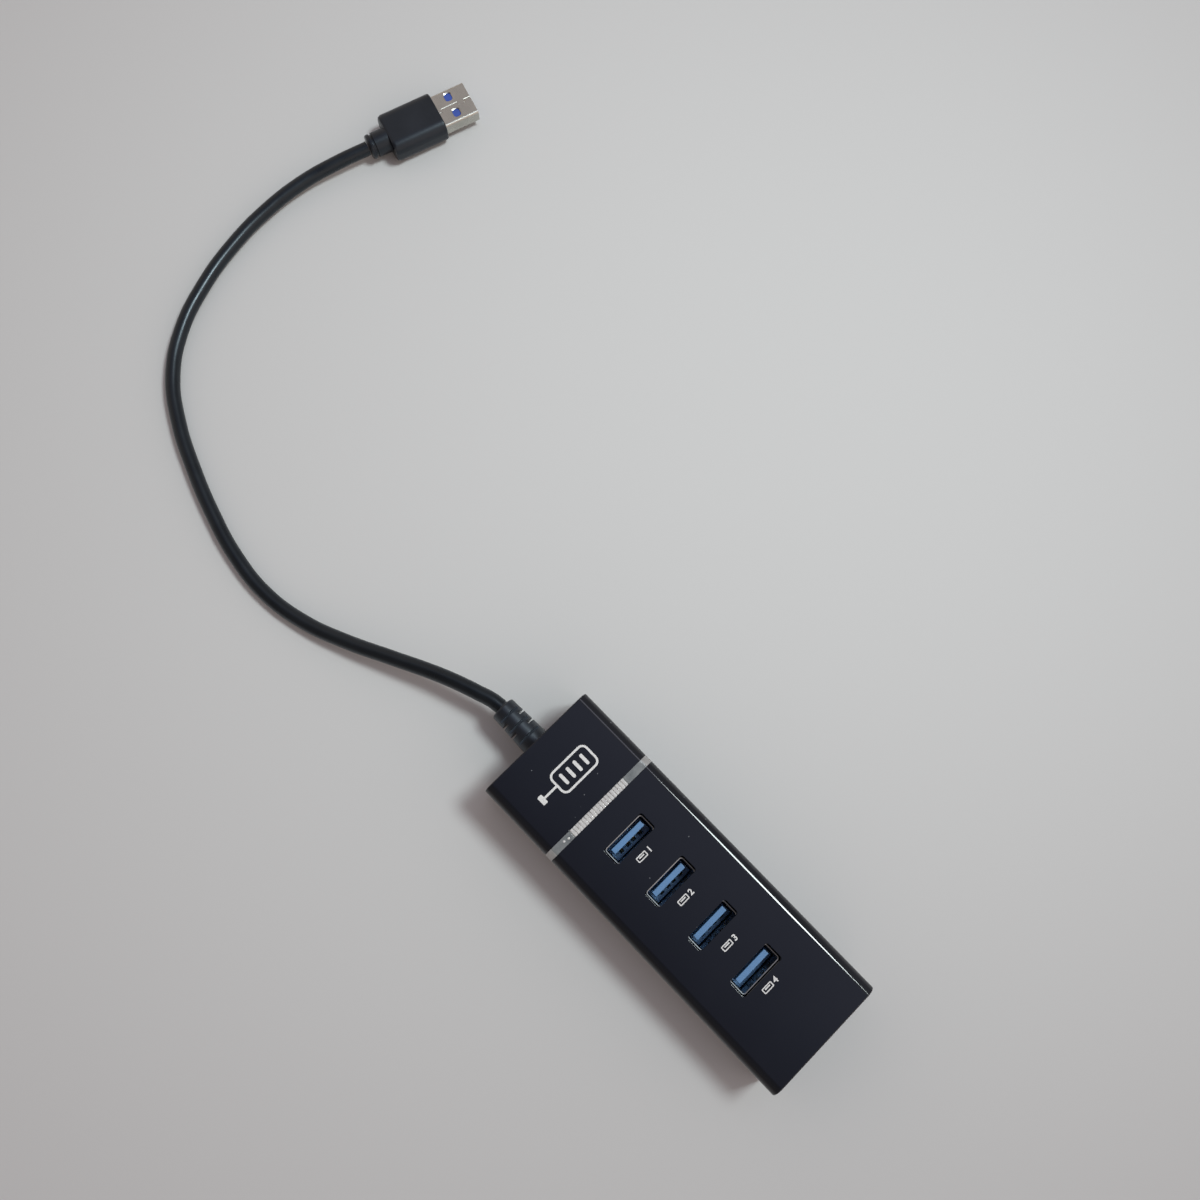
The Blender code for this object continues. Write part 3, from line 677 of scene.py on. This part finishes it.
def make_base():
    """The textured lower half, with its posts and their pins."""
    high = SEAM - SEAM_GAP / 2
    base = prism("lower_case", case_outline(0.0, high, False), "x", -HALF_LENGTH, HALF_LENGTH)
    bevel(base, END_ROUND, 4, 60.0)
    hollow(base, WALL, WALL, high + WALL)
    for x, y in POSTS:
        combine(base, rod("post", (x, y, WALL / 2), (x, y, POST_MEET[1]), POST_RADIUS), "UNION")
        combine(base, rod("pin", (x, y, WALL), (x, y, PIN_TOP), PIN_RADIUS), "UNION")
    relief_hole(base)
    smooth(base)
    dress(base, MATERIALS["case_plastic"], "bottom_case")


# --- light strip

RIB_REACH = 9.85 * MM  # the ribs run this far each way from the middle
RIB_COUNT = 19
RIB_DEPTH = 0.34 * MM
RIB_GROOVE_HALF = 0.21 * MM
STRIP_FROSTED = 16.7 * MM  # beyond this the strip is frosted
STRIP_PIPS = [(STRIP_X + 0.15 * MM, -11.3 * MM), (STRIP_X - 0.15 * MM, -12.7 * MM)]
LED_LOW, LED_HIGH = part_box("status_led_1")
LEG_HALF = (0.9 * MM, 1.5 * MM)
LEG_ABOVE_LED = 0.5 * MM


def strip_outline(inset, foot):
    """The strip's path over the case, inset from the case's own outline."""
    inner = HALF_WIDTH - TOP_EDGE_RADIUS
    corner = CASE_TOP - TOP_EDGE_RADIUS
    radius = TOP_EDGE_RADIUS - inset
    edge = HALF_WIDTH - inset
    right = arc((inner, corner), radius, 0, 90, EDGE_STEPS)
    left = arc((-inner, corner), radius, 90, 180, EDGE_STEPS)
    return [(edge, foot), *right, *left, (-edge, foot)]


def make_strip():
    """The clear strip over the top and down both sides, with a leg above each LED."""
    outer = strip_outline(0.0, STRIP_FOOT)
    inner = strip_outline(STRIP_DEPTH, STRIP_FOOT)
    outline = [*outer, *reversed(inner)]
    left, right = STRIP_X - STRIP_HALF, STRIP_X + STRIP_HALF
    strip = prism("light_strip", outline, "x", left, right)
    bottom = CASE_TOP - 2.5 * MM
    reach = RIB_REACH - STRIP_PLAY
    middle = block("middle", (left, -reach, bottom), (right, reach, CASE_TOP - 0.4 * MM))
    combine(strip, middle, "UNION")
    for side in (-1, 1):
        y = side * abs((LED_LOW.y + LED_HIGH.y) / 2)
        low = (STRIP_X - LEG_HALF[0], y - LEG_HALF[1], LED_HIGH.z + LEG_ABOVE_LED)
        high = (STRIP_X + LEG_HALF[0], y + LEG_HALF[1], bottom + STRIP_DEPTH)
        combine(strip, block("leg", low, high), "UNION")
    cut_ribs(strip)
    for place in STRIP_PIPS:
        combine(strip, pip(place), "UNION")
    bevel(strip, 0.06 * MM, 2)
    smooth(strip)
    finishes = [MATERIALS["strip_clear"], MATERIALS["strip_ribbed"], MATERIALS["strip_end"]]
    dress(strip, finishes, "light_guide")
    for face in strip.data.polygons:
        away = abs(face.center.y)
        ribbed = away < RIB_REACH and face.center.z > CASE_TOP - 0.5 * MM
        if away > STRIP_FROSTED:
            face.material_index = 2
        # The pips' raised faces take the lighter ribbed finish: a painted highlight, a bright dot on each
        # gate mark.
        elif ribbed or face.center.z > CASE_TOP + 0.003 * MM:
            face.material_index = 1
        else:
            face.material_index = 0


def pip(place):
    """A low round gate mark on the strip: the cap of a ball."""
    radius, height, root = 0.9 * MM, 0.06 * MM, 0.5 * MM
    bm = bmesh.new()
    matrix = Matrix.Translation((*place, CASE_TOP + height - radius))
    bmesh.ops.create_uvsphere(bm, u_segments=48, v_segments=48, radius=radius, matrix=matrix)
    mark = mesh_object("pip", bm)
    reach = radius + MM
    low = (place[0] - reach, place[1] - reach, CASE_TOP - 2 * radius - MM)
    combine(mark, block("below", low, (place[0] + reach, place[1] + reach, CASE_TOP - root)))
    return mark


def cut_ribs(strip):
    """Shallow V grooves across the strip leave rounded ribs between them."""
    pitch = 2 * RIB_REACH / RIB_COUNT
    half, above = RIB_GROOVE_HALF, CASE_TOP + 0.02 * MM
    left, right = STRIP_X - STRIP_HALF - MM, STRIP_X + STRIP_HALF + MM
    for i in range(RIB_COUNT + 1):
        y = -RIB_REACH + pitch * i
        outline = [(y - half, above), (y, CASE_TOP - RIB_DEPTH), (y + half, above)]
        combine(strip, prism("groove", outline, "x", left, right))


# --- ports

SHEET = 0.3 * MM  # the thickness of the sleeves' metal
FOLD_ANGLE = 20.0  # a sleeve's shallower turns are shaded smooth
SLEEVE_CORNER = 0.9 * MM
MOUTH_CORNER = 0.6 * MM
MOUTH_FLARE = 0.22 * MM
MOUTH_FLARE_DEPTH = 0.096 * MM
SLEEVE_LEG_HALF = 0.7 * MM
SPRING_ROWS = (-3.1 * MM, 3.1 * MM)
SPRING_HALF = 1.0 * MM
SPRING_SLIT = 0.22 * MM
SPRING_DROP = (3.2 * MM, 8.0 * MM)  # from the mouth down to the leaf's free end and its root
TONGUE_SHIFT = -0.72 * MM
TONGUE_THICK = 1.62 * MM
TONGUE_WIDE = 10.8 * MM
CONTACT_ROWS = (-3.5 * MM, -1.0 * MM, 1.0 * MM, 3.5 * MM)
CHANNEL_BACK = 0.45 * MM  # from the tongue's face
CHANNEL_HALF = 0.62 * MM
CHANNEL_AHEAD = 1.3 * MM
CHANNEL_DROP = 0.7 * MM  # from the tongue's end
LEAF_HALF = 0.42 * MM
LEAF_THICK = 0.2 * MM
LEAF_BOW = 1.0 * MM
LEAF_STEPS = 20
HOUSING_HEIGHT = 6.3 * MM


def plan_outline(middle, width, depth, radius):
    """A rounded rectangle in plan, about a place."""
    return rounded_rectangle(width, depth, radius, centre=(middle[0], middle[1]))


def make_port_shell(number):
    """A folded sleeve whose mouth is chamfered inwards, with spring leaves cut into its wide sides."""
    low, high = port_box(number)
    middle, size = (low + high) / 2, high - low
    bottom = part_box(f"port_{number}_insulator")[0].z
    outer = plan_outline(middle, size.x, size.y, SLEEVE_CORNER)
    shell = prism("port_shell", outer, "z", bottom, high.z)
    mouth = (size.x - 2 * SHEET, size.y - 2 * SHEET)
    inner = plan_outline(middle, *mouth, MOUTH_CORNER)
    combine(shell, prism("hollow", inner, "z", bottom - MM, high.z + MM))
    combine(shell, funnel(middle, mouth, MOUTH_CORNER, MOUTH_FLARE, MOUTH_FLARE_DEPTH, high.z))
    for side in (-1, 1):
        for y in SPRING_ROWS:
            cut_spring(shell, middle, size, side, y, high.z)
    shell.name = shell.data.name = f"port_{number}_sleeve"
    for side in (-1, 1):
        edges = sorted((side * size.y / 2, side * (size.y / 2 - SHEET)))
        start = (middle.x - SLEEVE_LEG_HALF, edges[0], low.z)
        end = (middle.x + SLEEVE_LEG_HALF, edges[1], bottom + MM)
        combine(shell, block("leg", start, end), "UNION")
    smooth(shell, FOLD_ANGLE)
    finishes = [MATERIALS["port_metal"], MATERIALS["cut_metal"]]
    dress(shell, finishes, f"port_{number}_shell")
    # Faces looking straight up take the near-black cut-edge finish: the raw cut edge, darkened as painted
    # shade of the narrow gap round the mouth.
    for face in shell.data.polygons:
        faces_up = face.normal.z > 0.99
        face.material_index = 1 if faces_up else 0


def funnel(middle, size, corner, flare, depth, top):
    """A cutter that flares the edge of an opening."""
    above, inside = 0.05 * MM, 0.01 * MM
    low = plan_outline(middle, size[0] - inside, size[1] - inside, corner)
    reach = flare * (1 + above / depth)
    wide = plan_outline(middle, size[0] + 2 * reach, size[1] + 2 * reach, corner + reach)
    return loft("flare", low, wide, "z", top - depth, top + above)


def cut_spring(shell, middle, size, side, y, top):
    """A U-shaped slit that leaves a spring leaf in a wide side of the sleeve."""
    x = middle.x + side * size.x / 2
    low_x, high_x = x - 2 * SHEET, x + 2 * SHEET
    half, slit = SPRING_HALF, SPRING_SLIT
    mouth, root = top - SPRING_DROP[0], top - SPRING_DROP[1]
    for edge in (-half, half):
        low = (low_x, middle.y + y + edge - slit / 2, root)
        combine(shell, block("slit", low, (high_x, middle.y + y + edge + slit / 2, mouth)))
    low = (low_x, middle.y + y - half - slit / 2, mouth - slit)
    combine(shell, block("slit", low, (high_x, middle.y + y + half + slit / 2, mouth)))


def make_port_insulator(number):
    """The housing and its tongue, with a channel for each contact."""
    low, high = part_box(f"port_{number}_insulator")
    housing_top = low.z + HOUSING_HEIGHT
    insulator = block("housing", low, (high.x, high.y, housing_top))
    insulator.name = insulator.data.name = f"port_{number}_tongue"
    x = port_middle(number).x + TONGUE_SHIFT
    tongue = block(
        "tongue",
        (x - TONGUE_THICK / 2, -TONGUE_WIDE / 2, housing_top - MM),
        (x + TONGUE_THICK / 2, TONGUE_WIDE / 2, high.z),
    )
    combine(insulator, tongue, "UNION")
    face = x + TONGUE_THICK / 2
    for y in CONTACT_ROWS:
        start = (face - CHANNEL_BACK, y - CHANNEL_HALF, low.z + MM)
        end = (face + CHANNEL_AHEAD, y + CHANNEL_HALF, high.z - CHANNEL_DROP)
        combine(insulator, block("channel", start, end))
    bevel(insulator, 0.14 * MM, 3)
    smooth(insulator)
    dress(insulator, MATERIALS["port_plastic"], f"port_{number}_insulator")


def make_port_contacts(number):
    """Bowed leaves in the tongue's channels."""
    for row, y in enumerate(CONTACT_ROWS, 1):
        low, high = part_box(f"port_{number}_contact_{row}")
        inner = []
        for i in range(LEAF_STEPS + 1):
            share = i / LEAF_STEPS
            bow = math.sin(math.pi * min(share * 1.08, 1.0)) ** 2  # flat again near its tip
            inner.append((low.x - CHANNEL_BACK + LEAF_BOW * bow, low.z + (high.z - low.z) * share))
        outer = [(a + LEAF_THICK, b) for a, b in reversed(inner)]
        name = f"port_{number}_leaf_{row}"
        leaf = prism(name, inner + outer, "y", y - LEAF_HALF, y + LEAF_HALF)
        bevel(leaf, 0.04 * MM, 2, 60.0)
        smooth(leaf)
        dress(leaf, MATERIALS["contact_metal"], f"port_{number}_contact_{row}")


# --- strain relief and cable

RELIEF_TIP = RELIEF_LOW.x
RELIEF_TIP_RADIUS = 3.7 * MM
RELIEF_TIP_ROUND = 0.55 * MM
RELIEF_ROOT_RADIUS = 4.25 * MM
RELIEF_NECK_RADIUS = 3.8 * MM  # in the case's wall
RELIEF_FLANGE_RADIUS = 5.0 * MM  # behind it
COLLAR_RADIUS = 2.15 * MM  # closes the gap to the cable's end
BORE_RADIUS = 2.35 * MM
SLOT_WIDTH = 0.75 * MM
SLOT_CORE = 2.15 * MM  # how near the middle the slots come
SLOTS = [(1, (4.6, 8.1)), (2, (3.0, 6.8, 10.9))]  # (across Y or Z, millimetres from the tip)
CASE_END = -HALF_LENGTH


def make_relief():
    """A tapered sleeve with staggered slots, a rounded tip and a flange behind the wall."""
    inside = CASE_END + WALL + 0.3 * MM
    tip, turn = RELIEF_TIP, RELIEF_TIP_ROUND
    profile = [(tip - turn, 0.0), (tip - turn, COLLAR_RADIUS), (tip, COLLAR_RADIUS), (tip, BORE_RADIUS)]
    profile += [(tip + turn - a, b) for a, b in arc((0.0, RELIEF_TIP_RADIUS - turn), turn, 0, 90, 6)]
    profile += [
        (CASE_END - 0.4 * MM, RELIEF_ROOT_RADIUS),
        (CASE_END - 0.05 * MM, RELIEF_ROOT_RADIUS - 0.3 * MM),
        (CASE_END, RELIEF_NECK_RADIUS),
        (inside, RELIEF_NECK_RADIUS),
        (inside, RELIEF_FLANGE_RADIUS),
        (RELIEF_HIGH.x, RELIEF_FLANGE_RADIUS),
        (RELIEF_HIGH.x, 0.0),
    ]
    relief = turned("relief_sleeve", profile, 72)
    reach = 8.0 * MM
    for axis, distances in SLOTS:
        for distance in distances:
            for side in (-1, 1):
                x = tip + distance * MM
                low = [x - SLOT_WIDTH / 2, -reach, -reach]
                high = [x + SLOT_WIDTH / 2, reach, reach]
                low[axis], high[axis] = sorted((side * SLOT_CORE, side * reach))
                combine(relief, block("slot", low, high))
    bevel(relief, 0.08 * MM, 2)
    relief.data.transform(Matrix.Translation((0.0, 0.0, SEAM)))
    smooth(relief)
    dress(relief, MATERIALS["cord_rubber"], "strain_relief")
    return relief


def make_cable():
    """The round jacket, along the cable's line."""
    curve = bpy.data.curves.new("cable_jacket", "CURVE")
    curve.dimensions = "3D"
    curve.bevel_depth = CABLE_DIAMETER / 2
    curve.bevel_resolution = 8
    curve.use_fill_caps = True
    curve.resolution_u = 10
    spline = curve.splines.new("BEZIER")
    spline.bezier_points.add(len(CABLE_ROUTE) - 1)
    for point, place in zip(spline.bezier_points, CABLE_ROUTE):
        point.co = place
        point.handle_left_type = point.handle_right_type = "AUTO"
    cable = bpy.data.objects.new("cable_jacket", curve)
    bpy.context.scene.collection.objects.link(cable)
    return dress(cable, MATERIALS["cord_jacket"], "cable")


# --- plug

PLUG_MOUNT = next(m for m in frame["record"]["mounts"] if m["name"] == "plug_face")
PLUG_AXIS = Vector(PLUG_MOUNT["axis"])
NECK_LENGTH = 6.8 * MM
GRIP_LENGTH = 17.5 * MM
GRIP_WIDTH = 15.0 * MM
GRIP_THICK = 8.4 * MM
GRIP_END = NECK_LENGTH + GRIP_LENGTH
PLUG_SHELL_WIDE = 12.0 * MM
PLUG_SHELL_THICK = 4.5 * MM
PLUG_SHELL_END = GRIP_END + 11.4 * MM
PLUG_POCKET = 2.0 * MM
PLUG_FACE_BACK = 0.5 * MM  # from the shell's mouth to the blue block's face
PLUG_HEIGHT = 4.4 * MM  # of its middle above the floor
BLOCK_THICK = 1.9 * MM
PAD_DROP = 2.1 * MM  # from the block's top to the contacts' undersides
PAD_HALF = 0.5 * MM
PAD_THICK = 0.3 * MM
NECK_RADIUS = 3.8 * MM
NECK_ROUND = 0.7 * MM
NECK_RING = [(1.25, 0.0), (1.4, 0.5), (1.9, 0.5), (2.05, 0.0)]  # (along, depth) in millimetres
WINDOW = (2.4 * MM, 2.7 * MM)
WINDOW_CORNER = 0.8 * MM
WINDOW_X = GRIP_END + 5.2 * MM
WINDOW_ROWS = (-3.0 * MM, 3.1 * MM)
SEAM_STEPS = [(0.0, 1.2, -0.9), (1.2, 7.05, 0.2), (7.05, 9.15, -0.9), (9.15, 12.0, 0.2)]


def plug_matrix():
    """From the plug's own frame, +X towards its mouth, to the row frame."""
    turn = Matrix.Rotation(math.atan2(PLUG_AXIS.y, PLUG_AXIS.x), 4, "Z")
    face = Vector(PLUG_MOUNT["pos_m"])
    start = face - PLUG_AXIS * (PLUG_SHELL_END - PLUG_FACE_BACK)
    return Matrix.Translation((start.x, start.y, PLUG_HEIGHT)) @ turn


def place_plug_piece(obj, material, replaces=()):
    """Lays a piece drawn in the plug's own frame."""
    obj.data.transform(plug_matrix())
    return dress(obj, material, replaces)


def make_grip():
    """The overmould: a flat-topped body with rounded sides, and a round neck."""
    outline = rounded_rectangle(GRIP_WIDTH, GRIP_THICK, 3.4 * MM, 12)
    grip = prism("plug_grip", outline, "x", NECK_LENGTH - 0.5 * MM, GRIP_END)
    bevel_where(grip, 1.2 * MM, 2, lambda p: p.x < NECK_LENGTH)
    bevel_where(grip, 0.6 * MM, 4, lambda p: p.x > GRIP_END - 0.01 * MM)
    rounded = arc((0.0, NECK_RADIUS - NECK_ROUND), NECK_ROUND, 0, 90, 5)
    profile = [(0.0, 0.0), (0.0, NECK_RADIUS - 0.9 * MM)]
    profile += [(NECK_ROUND - a, b) for a, b in rounded]
    profile += [(along * MM, NECK_RADIUS - depth * MM) for along, depth in NECK_RING]
    profile += [(NECK_LENGTH + MM, NECK_RADIUS + 0.05 * MM), (NECK_LENGTH + MM, 0.0)]
    combine(grip, turned("neck", profile, 56), "UNION")
    play = 0.06 * MM
    pocket = rounded_rectangle(PLUG_SHELL_WIDE + play, PLUG_SHELL_THICK + play, 0.6 * MM, 5)
    combine(grip, prism("pocket", pocket, "x", GRIP_END - PLUG_POCKET - 0.05 * MM, GRIP_END + MM))
    smooth(grip)
    return place_plug_piece(grip, MATERIALS["plug_grip"], "plug_overmold")


def make_plug_shell():
    """A folded sleeve with two windows on each wide side and a dovetailed seam on its upper side."""
    outline = rounded_rectangle(PLUG_SHELL_WIDE, PLUG_SHELL_THICK, 0.85 * MM, 12)
    start = GRIP_END - PLUG_POCKET
    shell = prism("plug_sleeve", outline, "x", start, PLUG_SHELL_END)
    hollow_wide, hollow_thick = PLUG_SHELL_WIDE - 2 * SHEET, PLUG_SHELL_THICK - 2 * SHEET
    inner = rounded_rectangle(hollow_wide, hollow_thick, 0.25 * MM)
    combine(shell, prism("hollow", inner, "x", start - MM, PLUG_SHELL_END + MM))
    top = PLUG_SHELL_THICK / 2
    for y in WINDOW_ROWS:
        middle = (WINDOW_X, y)
        outline = plan_outline(middle, *WINDOW, WINDOW_CORNER)
        combine(shell, prism("window", outline, "z", -PLUG_SHELL_THICK, PLUG_SHELL_THICK))
        combine(shell, funnel(middle, WINDOW, WINDOW_CORNER, 0.27 * MM, 0.125 * MM, top))
    for start, end in seam_runs():
        combine(shell, v_groove(start, end, top))
    smooth(shell, FOLD_ANGLE)
    return place_plug_piece(shell, MATERIALS["plug_metal"], "plug_shell")


def v_groove(start, end, top):
    """A shallow V cutter between two places in the plug's plan."""
    half, depth, above = 0.25 * MM, 0.105 * MM, 0.02 * MM
    along = Vector((end[0] - start[0], end[1] - start[1], 0.0))
    across = Vector((-along.y, along.x, 0.0)).normalized() * half
    bm = bmesh.new()
    rings = []
    for place in (start, end):
        low = Vector((*place, top - depth))
        high = Vector((*place, top + above))
        rings.append([bm.verts.new(v) for v in (low, high + across, high - across)])
    return skinned("groove", bm, rings)


def seam_runs():
    """(start, end) of the seam's straight runs in the plug's plan."""
    runs = []
    for number, (start, end, y) in enumerate(SEAM_STEPS):
        x0, x1 = GRIP_END + start * MM, GRIP_END + end * MM
        runs.append(((x0, y * MM), (x1, y * MM)))
        if number:
            runs.append(((x0, SEAM_STEPS[number - 1][2] * MM), (x0, y * MM)))
    return runs


def make_plug_insides():
    """The blue block under the shell's upper side, and the contacts below it."""
    top = PLUG_SHELL_THICK / 2 - SHEET - 0.05 * MM
    half = PLUG_SHELL_WIDE / 2 - SHEET - 0.1 * MM
    insulator = block(
        "plug_block",
        (GRIP_END - PLUG_POCKET, -half, top - BLOCK_THICK),
        (PLUG_SHELL_END - PLUG_FACE_BACK, half, top),
    )
    bevel(insulator, 0.15 * MM, 3)
    smooth(insulator)
    pieces = [place_plug_piece(insulator, MATERIALS["plug_plastic"], "plug_insulator")]
    for row, y in enumerate(CONTACT_ROWS, 1):
        low_z = top - PAD_DROP
        contact = block(
            f"plug_pad_{row}",
            (GRIP_END + 1.0 * MM, y - PAD_HALF, low_z),
            (PLUG_SHELL_END - 2.0 * MM, y + PAD_HALF, low_z + PAD_THICK),
        )
        bevel(contact, 0.05 * MM, 2)
        smooth(contact)
        material = MATERIALS["contact_metal"]
        pieces.append(place_plug_piece(contact, material, f"plug_contact_{row}"))
    return pieces


# --- printed marks

INK = 0.02 * MM
INK_FOOT = CASE_TOP + 0.004 * MM
MARK_AWAY = {1: 5.35, 2: 5.35, 3: 6.05, 4: 5.35}  # millimetres from each port's middle


def printed(name, outlines, rings, place):
    """Ink on the top face. Outlines are filled, and rings are (outer, inner) pairs.

    Both are drawn in the mark's own frame, where +u reads along +Y and +v points at the cable.
    """
    bm = bmesh.new()

    def corner(u, v):
        return bm.verts.new((place[0] - v, place[1] + u, INK_FOOT))

    for outline in outlines:
        bm.faces.new([corner(u, v) for u, v in outline])
    for outer, inner in rings:
        a, b = [corner(u, v) for u, v in outer], [corner(u, v) for u, v in inner]
        for i in range(len(a)):
            j = (i + 1) % len(a)
            bm.faces.new((a[i], a[j], b[j], b[i]))
    bmesh.ops.recalc_face_normals(bm, faces=bm.faces)
    grown = bmesh.ops.extrude_face_region(bm, geom=list(bm.faces))
    for vert in (v for v in grown["geom"] if isinstance(v, bmesh.types.BMVert)):
        vert.co.z += INK
    bmesh.ops.recalc_face_normals(bm, faces=bm.faces)
    return dress(mesh_object(name, bm), MATERIALS["printed_white"])


def frame_ring(width, height, radius, line, centre):
    """The outer and inner outlines of a frame."""
    inner_radius = max(radius - line, 0.05 * MM)
    outer = rounded_rectangle(width, height, radius, 8, centre)
    inner = rounded_rectangle(width - 2 * line, height - 2 * line, inner_radius, 8, centre)
    return outer, inner


def make_hub_mark():
    """A plain pictogram of a box with four slots and a lead."""
    line = 0.62 * MM
    ring = frame_ring(13.2 * MM, 7.2 * MM, 1.9 * MM, line, (2.3 * MM, 0.0))
    centres = [((2.3 + 2.5 * (i - 1.5)) * MM, 0.0) for i in range(4)]
    bars = [rounded_rectangle(0.95 * MM, 3.5 * MM, 0.4 * MM, 5, centre) for centre in centres]
    lead = rounded_rectangle(4.3 * MM, line, 0.02 * MM, 2, (-6.45 * MM, 0.0))
    end = rounded_rectangle(1.5 * MM, 2.7 * MM, 0.35 * MM, 5, (-9.35 * MM, 0.0))
    printed("mark_hub", [*bars, lead, end], [ring], (-40.9 * MM, 0.0))


def make_port_marks():
    """By each port, a small slot pictogram and the port's number."""
    for number in PORTS:
        place = (port_middle(number).x + MARK_AWAY[number] * MM, 0.0)
        ring = frame_ring(3.3 * MM, 1.6 * MM, 0.3 * MM, 0.3 * MM, (-0.85 * MM, 0.0))
        bar = rounded_rectangle(1.8 * MM, 0.36 * MM, 0.1 * MM, 3, (-0.85 * MM, 0.14 * MM))
        printed(f"mark_port_{number}", [bar], [ring], place)
        make_numeral(number, (place[0], place[1] + 1.95 * MM))


def make_numeral(number, place):
    """The number as a text object made a mesh, reading along +Y."""
    text = bpy.data.curves.new(f"numeral_{number}", "FONT")
    text.body = str(number)
    text.size = 2.35 * MM
    text.align_x = "CENTER"
    text.align_y = "CENTER"
    text.offset = 0.07 * MM
    text.extrude = INK / 2
    maker = bpy.data.objects.new("maker", text)
    bpy.context.scene.collection.objects.link(maker)
    bpy.context.view_layer.update()
    depsgraph = bpy.context.evaluated_depsgraph_get()
    data = bpy.data.meshes.new_from_object(maker.evaluated_get(depsgraph))
    bpy.data.objects.remove(maker)
    turn = Matrix.Rotation(math.radians(90), 4, "Z")
    data.transform(Matrix.Translation((place[0], place[1], INK_FOOT + INK / 2)) @ turn)
    data.name = f"mark_number_{number}"
    obj = bpy.data.objects.new(f"mark_number_{number}", data)
    bpy.context.scene.collection.objects.link(obj)
    dress(obj, MATERIALS["printed_white"])


# --- inner parts


def finish_inner_nodes():
    """The CAD nodes whose shape is already right take a material."""
    record = frame["record"]
    slots = {part["node"]: part["material_slot"] for part in record["subparts"]}
    replaced = {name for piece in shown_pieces() for name in piece.get("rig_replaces", [])}
    for name, node in frame["nodes"].items():
        if name in replaced:
            continue
        node.data.materials.clear()
        node.data.materials.append(MATERIALS[slots[name]])


# --- stage

FLOOR_REACH = 20.0
FLOOR_DROP = 0.02 * MM  # keeps its face clear of the base's
PANEL = (0.30, 0.25)  # the light panels' size
DARK_SIDE = (0.21, 0.175, 0.16)
LIGHT_SIDE = (0.33, 0.31, 0.32)
ROOM = [  # (share of the way from -Y to +Y, colour) between those two
    (0.35, (0.125, 0.105, 0.10)),
    (0.47, (0.15, 0.13, 0.18)),
    (0.50, (0.26, 0.27, 0.37)),
    (0.535, (0.41, 0.42, 0.56)),
    (0.675, (0.42, 0.40, 0.41)),
]
LIGHT_SIDE_FROM = 0.9
NEAR_WALL = (0.86, 0.74, 0.69)  # towards +X
FAR_WALL = (0.57, 0.49, 0.45)  # towards -X
HORIZON = (0.50, 0.445, 0.42)
WALL_EDGES = (0.30, 0.75)  # where a wall begins and is full, as a direction's share of X
HORIZON_TOP = 0.25


def make_camera():
    """The camera, with its lens in millimetres."""
    data = bpy.data.cameras.new("camera")
    data.sensor_width = 36.0
    data.lens = CAMERA_LENS
    data.clip_start = 0.01
    data.clip_end = 20.0
    camera = bpy.data.objects.new("camera", data)
    camera.location = CAMERA_PLACE
    camera.rotation_euler = CAMERA_TURN
    bpy.context.scene.collection.objects.link(camera)
    bpy.context.scene.camera = camera


def make_floor():
    """A floor wide enough that its edge isn't seen."""
    bm = bmesh.new()
    bmesh.ops.create_grid(bm, x_segments=1, y_segments=1, size=FLOOR_REACH)
    floor = mesh_object("pale_floor", bm)
    floor.location.z = -FLOOR_DROP
    floor.data.materials.append(pale_floor())
    floor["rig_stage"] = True


def area_light(name, place, target, energy, colour, spread=180.0):
    """A rectangular panel aimed at a place."""
    data = bpy.data.lights.new(name, "AREA")
    data.shape = "RECTANGLE"
    data.size, data.size_y = PANEL
    data.energy = energy
    data.color = colour
    data.spread = math.radians(spread)
    light = bpy.data.objects.new(name, data)
    light.location = place
    light.rotation_euler = (Vector(target) - Vector(place)).to_track_quat("-Z", "Y").to_euler()
    bpy.context.scene.collection.objects.link(light)


def make_lights():
    """A soft window panel behind the hub, and its dim bluish neighbour."""
    pale, bluish = (0.90, 1.0, 1.0), (0.80, 0.80, 1.0)
    area_light("window", (0.175, 0.55, 1.10), (-0.12, 0.105, 0.0), 0.65, pale, 46.0)
    area_light("neighbour", (-0.14, 0.55, 1.10), (0.0, 0.0, 0.0), 0.38, bluish)


def make_world():
    """A dim room: dark towards -Y, a bluish ceiling, and pale walls at the two ends of X."""
    world = bpy.data.worlds.new("room")
    bpy.context.scene.world = world
    world.use_nodes = True
    tree = world.node_tree
    background = tree.nodes["Background"]
    background.inputs["Strength"].default_value = 1.0
    place = add_node(tree, "TexCoord").outputs["Generated"]
    split = add_node(tree, "SeparateXYZ", Vector=place)
    share = map_range(tree, split.outputs["Y"], -1.0, 1.0)
    across = add_node(tree, "ValToRGB", Fac=share)
    stops = across.color_ramp.elements
    stops[0].position, stops[0].color = 0.0, (*DARK_SIDE, 1.0)
    stops[1].position, stops[1].color = LIGHT_SIDE_FROM, (*LIGHT_SIDE, 1.0)
    for position, colour in ROOM:
        stops.new(position).color = (*colour, 1.0)
    begins, full = WALL_EDGES
    near_wall = map_range(tree, split.outputs["X"], begins, full, eased=True)
    far_wall = map_range(tree, split.outputs["X"], -full, -begins, 1.0, 0.0, eased=True)
    horizon = map_range(tree, split.outputs["Z"], 0.0, HORIZON_TOP, 1.0, 0.0, eased=True)
    colour = mix_colours(tree, near_wall, across.outputs["Color"], NEAR_WALL)
    colour = mix_colours(tree, far_wall, colour, FAR_WALL)
    colour = mix_colours(tree, horizon, colour, HORIZON)
    tree.links.new(colour, background.inputs["Color"])


def main():
    bpy.context.scene.view_settings.view_transform = "Standard"
    make_camera()
    make_floor()
    make_world()
    make_lights()
    relief = make_relief()
    cable = make_cable()
    plug = [make_grip(), make_plug_shell(), *make_plug_insides()]
    make_cover()
    make_base()
    make_strip()
    for number in PORTS:
        make_port_shell(number)
        make_port_insulator(number)
        make_port_contacts(number)
    make_hub_mark()
    make_port_marks()
    finish_inner_nodes()


main()
